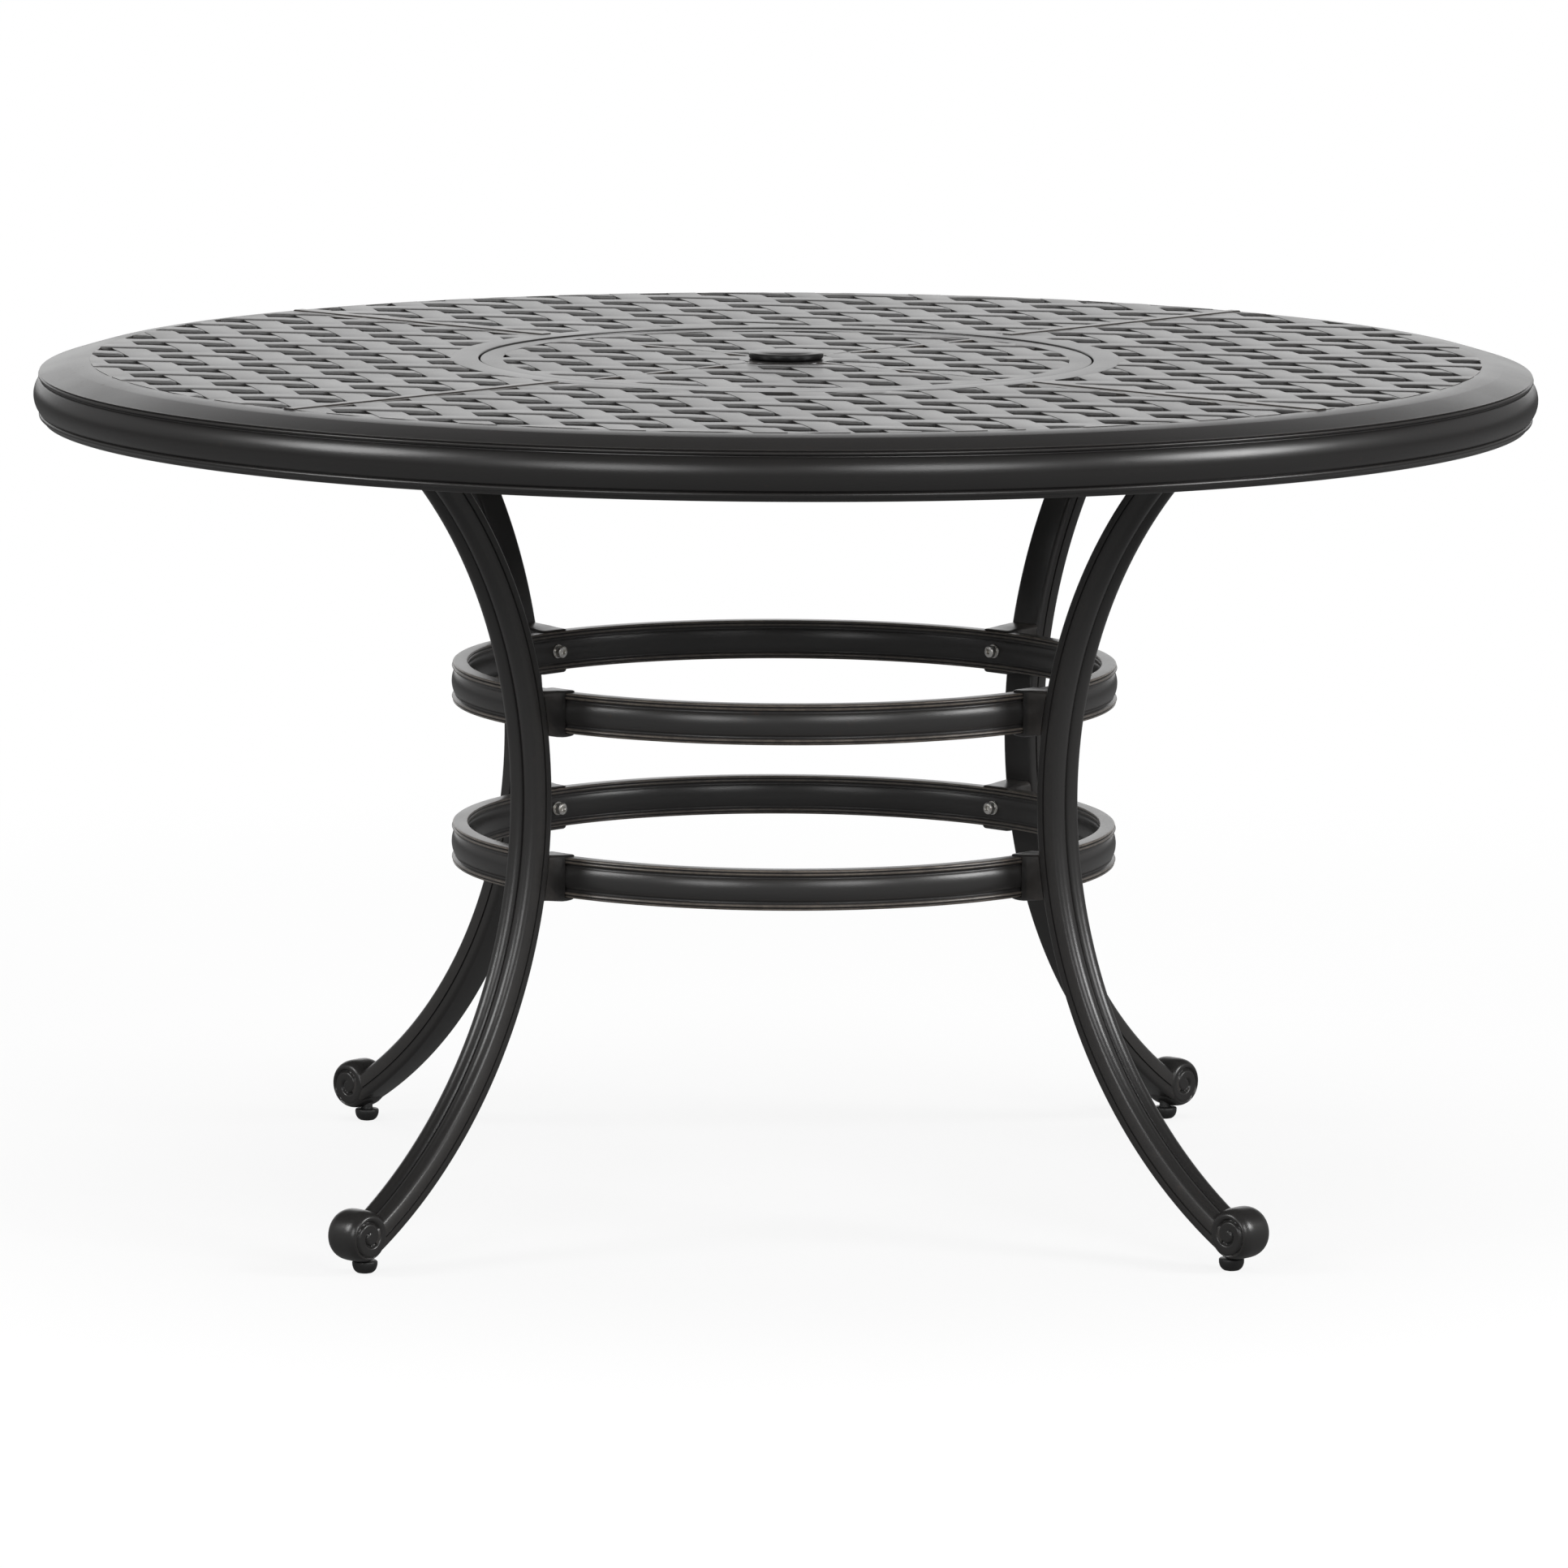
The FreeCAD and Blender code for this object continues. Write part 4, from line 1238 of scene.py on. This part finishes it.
@dataclass
class Saddle:
    """Bracket that holds a hoop to a leg."""

    hoop: Hoop
    corner: Corner
    leg: Leg
    width: float = 30.0
    cheek: float = 3.0
    lap: float = 13.0
    slot_half: float = 17.6
    seat_gap: float = 0.1
    leg_sink: float = 0.4
    foot_rise: float = 3.4
    head_rise: float = 1.2
    nose_setback: float = 2.4
    nose_end: float = 290.0

    def _outline(self) -> list[Point]:
        """Outline of the bracket in reach and height above the hoop's middle.

        Returns:
            Points round the slot, the lower cheek, the leg's side and the upper cheek.
        """
        half = self.slot_half + self.cheek
        tip = self.hoop.radius - self.lap
        back = self.hoop.radius + self.seat_gap
        nose = [(tip + 0.9, 0.0), (tip + 0.2, 0.4), (tip, 1.0)]
        under = nose + [(tip + 0.3, 1.9), (tip + 1.2, 2.7), (tip + 4.0, 3.3), (tip + 8.0, 3.5), (tip + 13.0, 3.3),
                        (tip + 20.0, 2.4)]
        over = nose + [(tip + 0.3, 1.3), (tip + 1.2, 1.6), (tip + 4.0, 1.7), (tip + 8.0, 1.9), (tip + 13.0, 2.2),
                       (tip + 20.0, self.cheek)]
        outline = [(back, self.slot_half), (back, -self.slot_half)]
        outline += [(reach, -self.slot_half - rise) for reach, rise in under]
        low = self.foot_rise - half
        high = self.head_rise + half
        for step in range(9):
            height = low + (high - low) * step / 8
            above_waist = self.hoop.level + height - self.leg.waist
            reach = self.leg.arc_reach - math.sqrt((self.leg.inner - self.leg_sink) ** 2 - above_waist ** 2)
            outline.append((reach, height))
        return outline + [(reach, self.slot_half + rise) for reach, rise in reversed(over)]

    def build(self, finishes: Finishes) -> None:
        """Make the bracket, thinner toward its sides, and show it in place of its CAD node.

        Args:
            finishes: the finishes of the table.
        """
        outline = self._outline()
        rows = []
        wide = self.width / 2
        for side, share in ((-wide, 0.25), (-wide + 0.7, 0.62), (-wide + 1.8, 0.88), (-wide + 3.4, 1.0),
                            (wide - 3.4, 1.0), (wide - 1.8, 0.88), (wide - 0.7, 0.62), (wide, 0.25)):
            row = []
            for x, z in outline:
                thinning = max(0.0, abs(z) - self.slot_half) * (1 - share)
                setback = self.nose_setback * (1 - share) if x < self.nose_end else 0.0
                row.append((x + setback, side, z - math.copysign(thinning, z)))
            rows.append(row)
        mesh = skin("saddle", rows, 30.0)
        place_mesh(mesh, self.corner.turn, (0, 0, self.hoop.level))
        name = "%s_saddle_%s" % (self.hoop.label, self.corner.label)
        # The bracket takes the coat copy whose lighter base colour is painted light.
        show("cast_" + name, mesh, finishes.leg_coat, name)


@dataclass
class Fasteners:
    """Nuts of the hoops and heads of the leg bolts."""

    nut_flats: float = 10.0
    nut_height: float = 8.0
    nut_seat: float = 278.84
    head_flats: float = 13.0
    bolt_reaches: tuple[float, float] = (440.0, 518.03)
    bolt_level: float = 712.0

    def _nut(self) -> bpy.types.Mesh:
        """Flanged hexagon nut with a round hollow end, pointing at the table's axis along -X.

        Returns:
            The nut, seated at the origin.
        """
        corner = self.nut_flats / math.sqrt(3)
        high = self.nut_height
        rows = []
        for reach, depth, sides in ((6.0, 0.0, 12), (6.3, 0.3, 12), (6.3, 1.1, 12), (6.0, 1.4, 12), (4.7, 1.5, 12),
                                    (4.7, 2.3, 12), (corner - 0.4, 2.4, 6), (corner, 2.8, 6), (corner, high - 1.8, 6),
                                    (corner - 0.5, high - 1.0, 12), (corner - 1.2, high - 0.3, 12),
                                    (corner - 2.0, high, 12), (2.4, high, 12), (2.2, high - 0.3, 12),
                                    (2.0, high - 2.2, 12), (0.4, high - 2.6, 12)):
            ring = []
            for step in range(24):
                turn = 2 * math.pi * step / 24
                off = abs((turn + math.pi / 6) % (math.pi / 3) - math.pi / 6)
                scale = 1.0 if sides == 12 else math.cos(math.pi / 6) / math.cos(math.pi / 6 - off)
                ring.append((-depth, *polar(reach * scale, turn)))
            rows.append(ring)
        return skin("nut", rows, 25.0)

    def _head(self) -> bpy.types.Mesh:
        """Hexagon bolt head that hangs below its seat.

        Returns:
            The head, seated at the origin.
        """
        corner = self.head_flats / math.sqrt(3)
        turns = [math.pi * step / 3 for step in range(6)]
        rows = [[(*polar(reach, turn), depth) for turn in turns]
                for reach, depth in ((corner, 0.0), (corner, -4.6), (corner - 0.8, -5.3))]
        return skin("head", rows, 25.0)

    def build(self, copies: CopiesTree, finishes: Finishes) -> None:
        """Set the fasteners out and show them in place of their CAD nodes.

        Args:
            copies: the tree that sets them out.
            finishes: the finishes of the table.
        """
        upper, lower = HOOP_LEVELS["upper"], HOOP_LEVELS["lower"]
        near, far = self.bolt_reaches
        for name, piece, reaches, levels, node in (
            ("hoop_nut_set", self._nut(), (self.nut_seat, self.nut_seat), (upper, lower), "hoop_nuts"),
            ("leg_bolt_set", self._head(), (near, far), (self.bolt_level, self.bolt_level), "leg_bolts"),
        ):
            mesh = run_nodes(name, piece, copies.nodes.tree, {
                "First Radius": reaches[0] * MM, "Second Radius": reaches[1] * MM,
                "First Level": levels[0] * MM, "Second Level": levels[1] * MM, "Finish": finishes.zinc})
            shade(mesh, 25.0)
            show(name, mesh, finishes.zinc, node)


# ---------------------------------------------------------------- studio


@dataclass(frozen=True)
class Lamp:
    """Round soft lamp that faces the table."""

    name: str
    place: Point3
    size: float
    power: float
    glossy: bool = True
    aim: Point3 = (0.0, 0.0, 0.6)

    def build(self) -> None:
        """Put the lamp in the scene."""
        lamp = bpy.data.lights.new(self.name, "AREA")
        lamp.shape = "DISK"
        lamp.size = self.size
        lamp.energy = self.power
        holder = bpy.data.objects.new(self.name, lamp)
        holder.location = self.place
        holder.rotation_euler = (Vector(self.aim) - Vector(self.place)).to_track_quat("-Z", "Y").to_euler()
        holder.visible_glossy = self.glossy
        bpy.context.scene.collection.objects.link(holder)


@dataclass
class Studio:
    """Pale floor, soft light and the camera at the photograph's angle."""

    camera_distance: float = 8.723
    camera_height: float = 1.624
    camera_azimuth: float = -92.27
    pitch: float = 8.2
    roll: float = 0.27
    focal_pixels: float = 12270.0
    frame_pixels: float = 1932.0
    sensor_width: float = 36.0
    floor_color: Color = (0.93, 0.93, 0.93, 1)
    shaded_color: Color = (0.19, 0.19, 0.19, 1)
    floor_glow: float = 0.85
    floor_gleam: float = 0.075
    horizon_color: Color = (1.38, 1.38, 1.38, 1)
    side_color: Color = (0.30, 0.30, 0.30, 1)
    ceiling_color: Color = (0.025, 0.025, 0.025, 1)
    horizon_low: float = 0.36
    horizon_high: float = 0.54
    behind_from: float = 0.87
    behind_full: float = 0.97
    shadow_reach: float = 0.9
    white_reach: float = 2.6
    lamps: tuple[Lamp, ...] = (
        Lamp("overhead", (0.0, 0.3, 4.4), 4.0, 130.0, False),
        Lamp("far_left", (-4.52, -1.48, 3.03), 2.0, 95.0),
        Lamp("left", (-2.36, -4.58, 2.15), 1.9, 51.0),
        Lamp("right", (1.77, -4.85, 2.68), 1.9, 69.0),
        Lamp("far_right", (4.39, -1.81, 2.64), 1.8, 133.0),
    )

    def build(self) -> None:
        """Make everything that isn't the table."""
        self._world()
        self._floor()
        for lamp in self.lamps:
            lamp.build()
        self._camera()
        bpy.context.scene.view_settings.view_transform = "Standard"

    def _world(self) -> None:
        """White for the camera; for the light, a pale horizon under a dark ceiling."""
        world = bpy.data.worlds.new("studio")
        world.use_nodes = True
        world.node_tree.nodes.clear()
        nodes = Nodes(world.node_tree)
        heading = nodes.node("ShaderNodeTexCoord").out("Generated")
        parts = nodes.node("ShaderNodeSeparateXYZ", None, {"Vector": heading})
        behind = parts.out("Y").above(self.behind_from, self.behind_full)
        horizon = nodes.mix(behind, self.side_color, self.horizon_color)
        rise = parts.out("Z").above(self.horizon_low, self.horizon_high)
        pale = nodes.mix(rise, horizon, self.ceiling_color)
        light = nodes.node("ShaderNodeBackground", None, {"Color": pale, "Strength": 1.0})
        seen = nodes.node("ShaderNodeBackground", None, {"Color": (1, 1, 1, 1), "Strength": 1.0})
        path = nodes.node("ShaderNodeLightPath").out("Is Camera Ray")
        mixed = nodes.node("ShaderNodeMixShader", None, {0: path, 1: light.out(), 2: seen.out()})
        nodes.node("ShaderNodeOutputWorld", None, {"Surface": mixed.out()})
        bpy.context.scene.world = world

    def _floor(self) -> None:
        """Pale floor that runs past the edge of the picture and keeps a faint shadow."""
        side, front, back = 60000, -60000, 90000
        corners = [(-side, front, 0), (side, front, 0), (side, back, 0), (-side, back, 0)]
        mesh = build_mesh("floor", corners, [(0, 1, 2, 3)])
        material, nodes = new_material("floor")
        place = nodes.node("ShaderNodeTexCoord").out("Object")
        far = nodes.node("ShaderNodeVectorMath", {"operation": "LENGTH"}, {0: place}).out("Value")
        path = nodes.node("ShaderNodeLightPath")
        seen = path.out("Is Camera Ray")
        beyond = far.above(self.shadow_reach, self.white_reach)
        white = (seen * (self.floor_glow + (1.0 - self.floor_glow) * beyond)
                 + path.out("Is Glossy Ray") * self.floor_gleam)
        pale = nodes.mix(seen, self.shaded_color, self.floor_color)
        matt = nodes.node("ShaderNodeBsdfDiffuse", None, {"Color": pale})
        glow = nodes.node("ShaderNodeEmission", None, {"Color": (1, 1, 1, 1), "Strength": 1.0})
        shader = nodes.node("ShaderNodeMixShader", None, {0: white, 1: matt.out(), 2: glow.out()})
        nodes.node("ShaderNodeOutputMaterial", None, {"Surface": shader.out()})
        mesh.materials.append(material)
        floor = bpy.data.objects.new("floor", mesh)
        bpy.context.scene.collection.objects.link(floor)

    def _camera(self) -> None:
        """Camera at the photograph's place, with its lens."""
        camera = bpy.data.cameras.new("camera")
        camera.sensor_width = self.sensor_width
        camera.lens = self.sensor_width * self.focal_pixels / self.frame_pixels
        camera.clip_end = 300.0
        holder = bpy.data.objects.new("camera", camera)
        turn = math.radians(self.camera_azimuth)
        holder.location = (*polar(self.camera_distance, turn), self.camera_height)
        facing = Matrix.Rotation(turn + math.pi / 2, 4, "Z") @ Matrix.Rotation(math.radians(90 - self.pitch), 4, "X")
        holder.rotation_euler = (facing @ Matrix.Rotation(math.radians(self.roll), 4, "Z")).to_euler()
        bpy.context.scene.collection.objects.link(holder)
        bpy.context.scene.camera = holder


def dress_frame(finishes: Finishes) -> None:
    """Give the CAD nodes that stay in view their finishes.

    Args:
        finishes: the finishes of the table.
    """
    for name, material in (("under_frame", finishes.coat), ("umbrella_sleeve", finishes.coat),
                           ("turntable_pads", finishes.glide)):
        for holder in bpy.data.objects[name].material_slots:
            holder.material = material
        LOG.info("%s keeps its CAD shape", name)


def main() -> None:
    """Build the table's pieces in order, then the studio."""
    logging.basicConfig(level=logging.INFO, format="%(name)s: %(message)s")
    finishes = Finishes()
    weave = Weave()
    weaving = WeaveTree()
    TopFrame().build(finishes)
    for panel in (WovenPanel("front", -135, 0.0, 3.0, 12.0), WovenPanel("right", -45, 12.0, 12.0, 3.0),
                  WovenPanel("back", 45, -9.0, 3.0, 12.0), WovenPanel("left", 135, 29.5, 12.0, 3.0)):
        panel.build(weave, weaving, finishes)
    Turntable().build(weave, weaving, finishes)
    Plug().build(finishes)
    hoops = [Hoop(label, level) for label, level in HOOP_LEVELS.items()]
    for corner in Corner:
        leg = Leg(corner)
        leg.build(finishes)
        Glide(corner).build(finishes)
        for hoop in hoops:
            Saddle(hoop, corner, leg).build(finishes)
    for hoop in hoops:
        hoop.build(finishes)
    Fasteners().build(CopiesTree(), finishes)
    dress_frame(finishes)
    Studio().build()


if __name__ == "__main__":
    main()
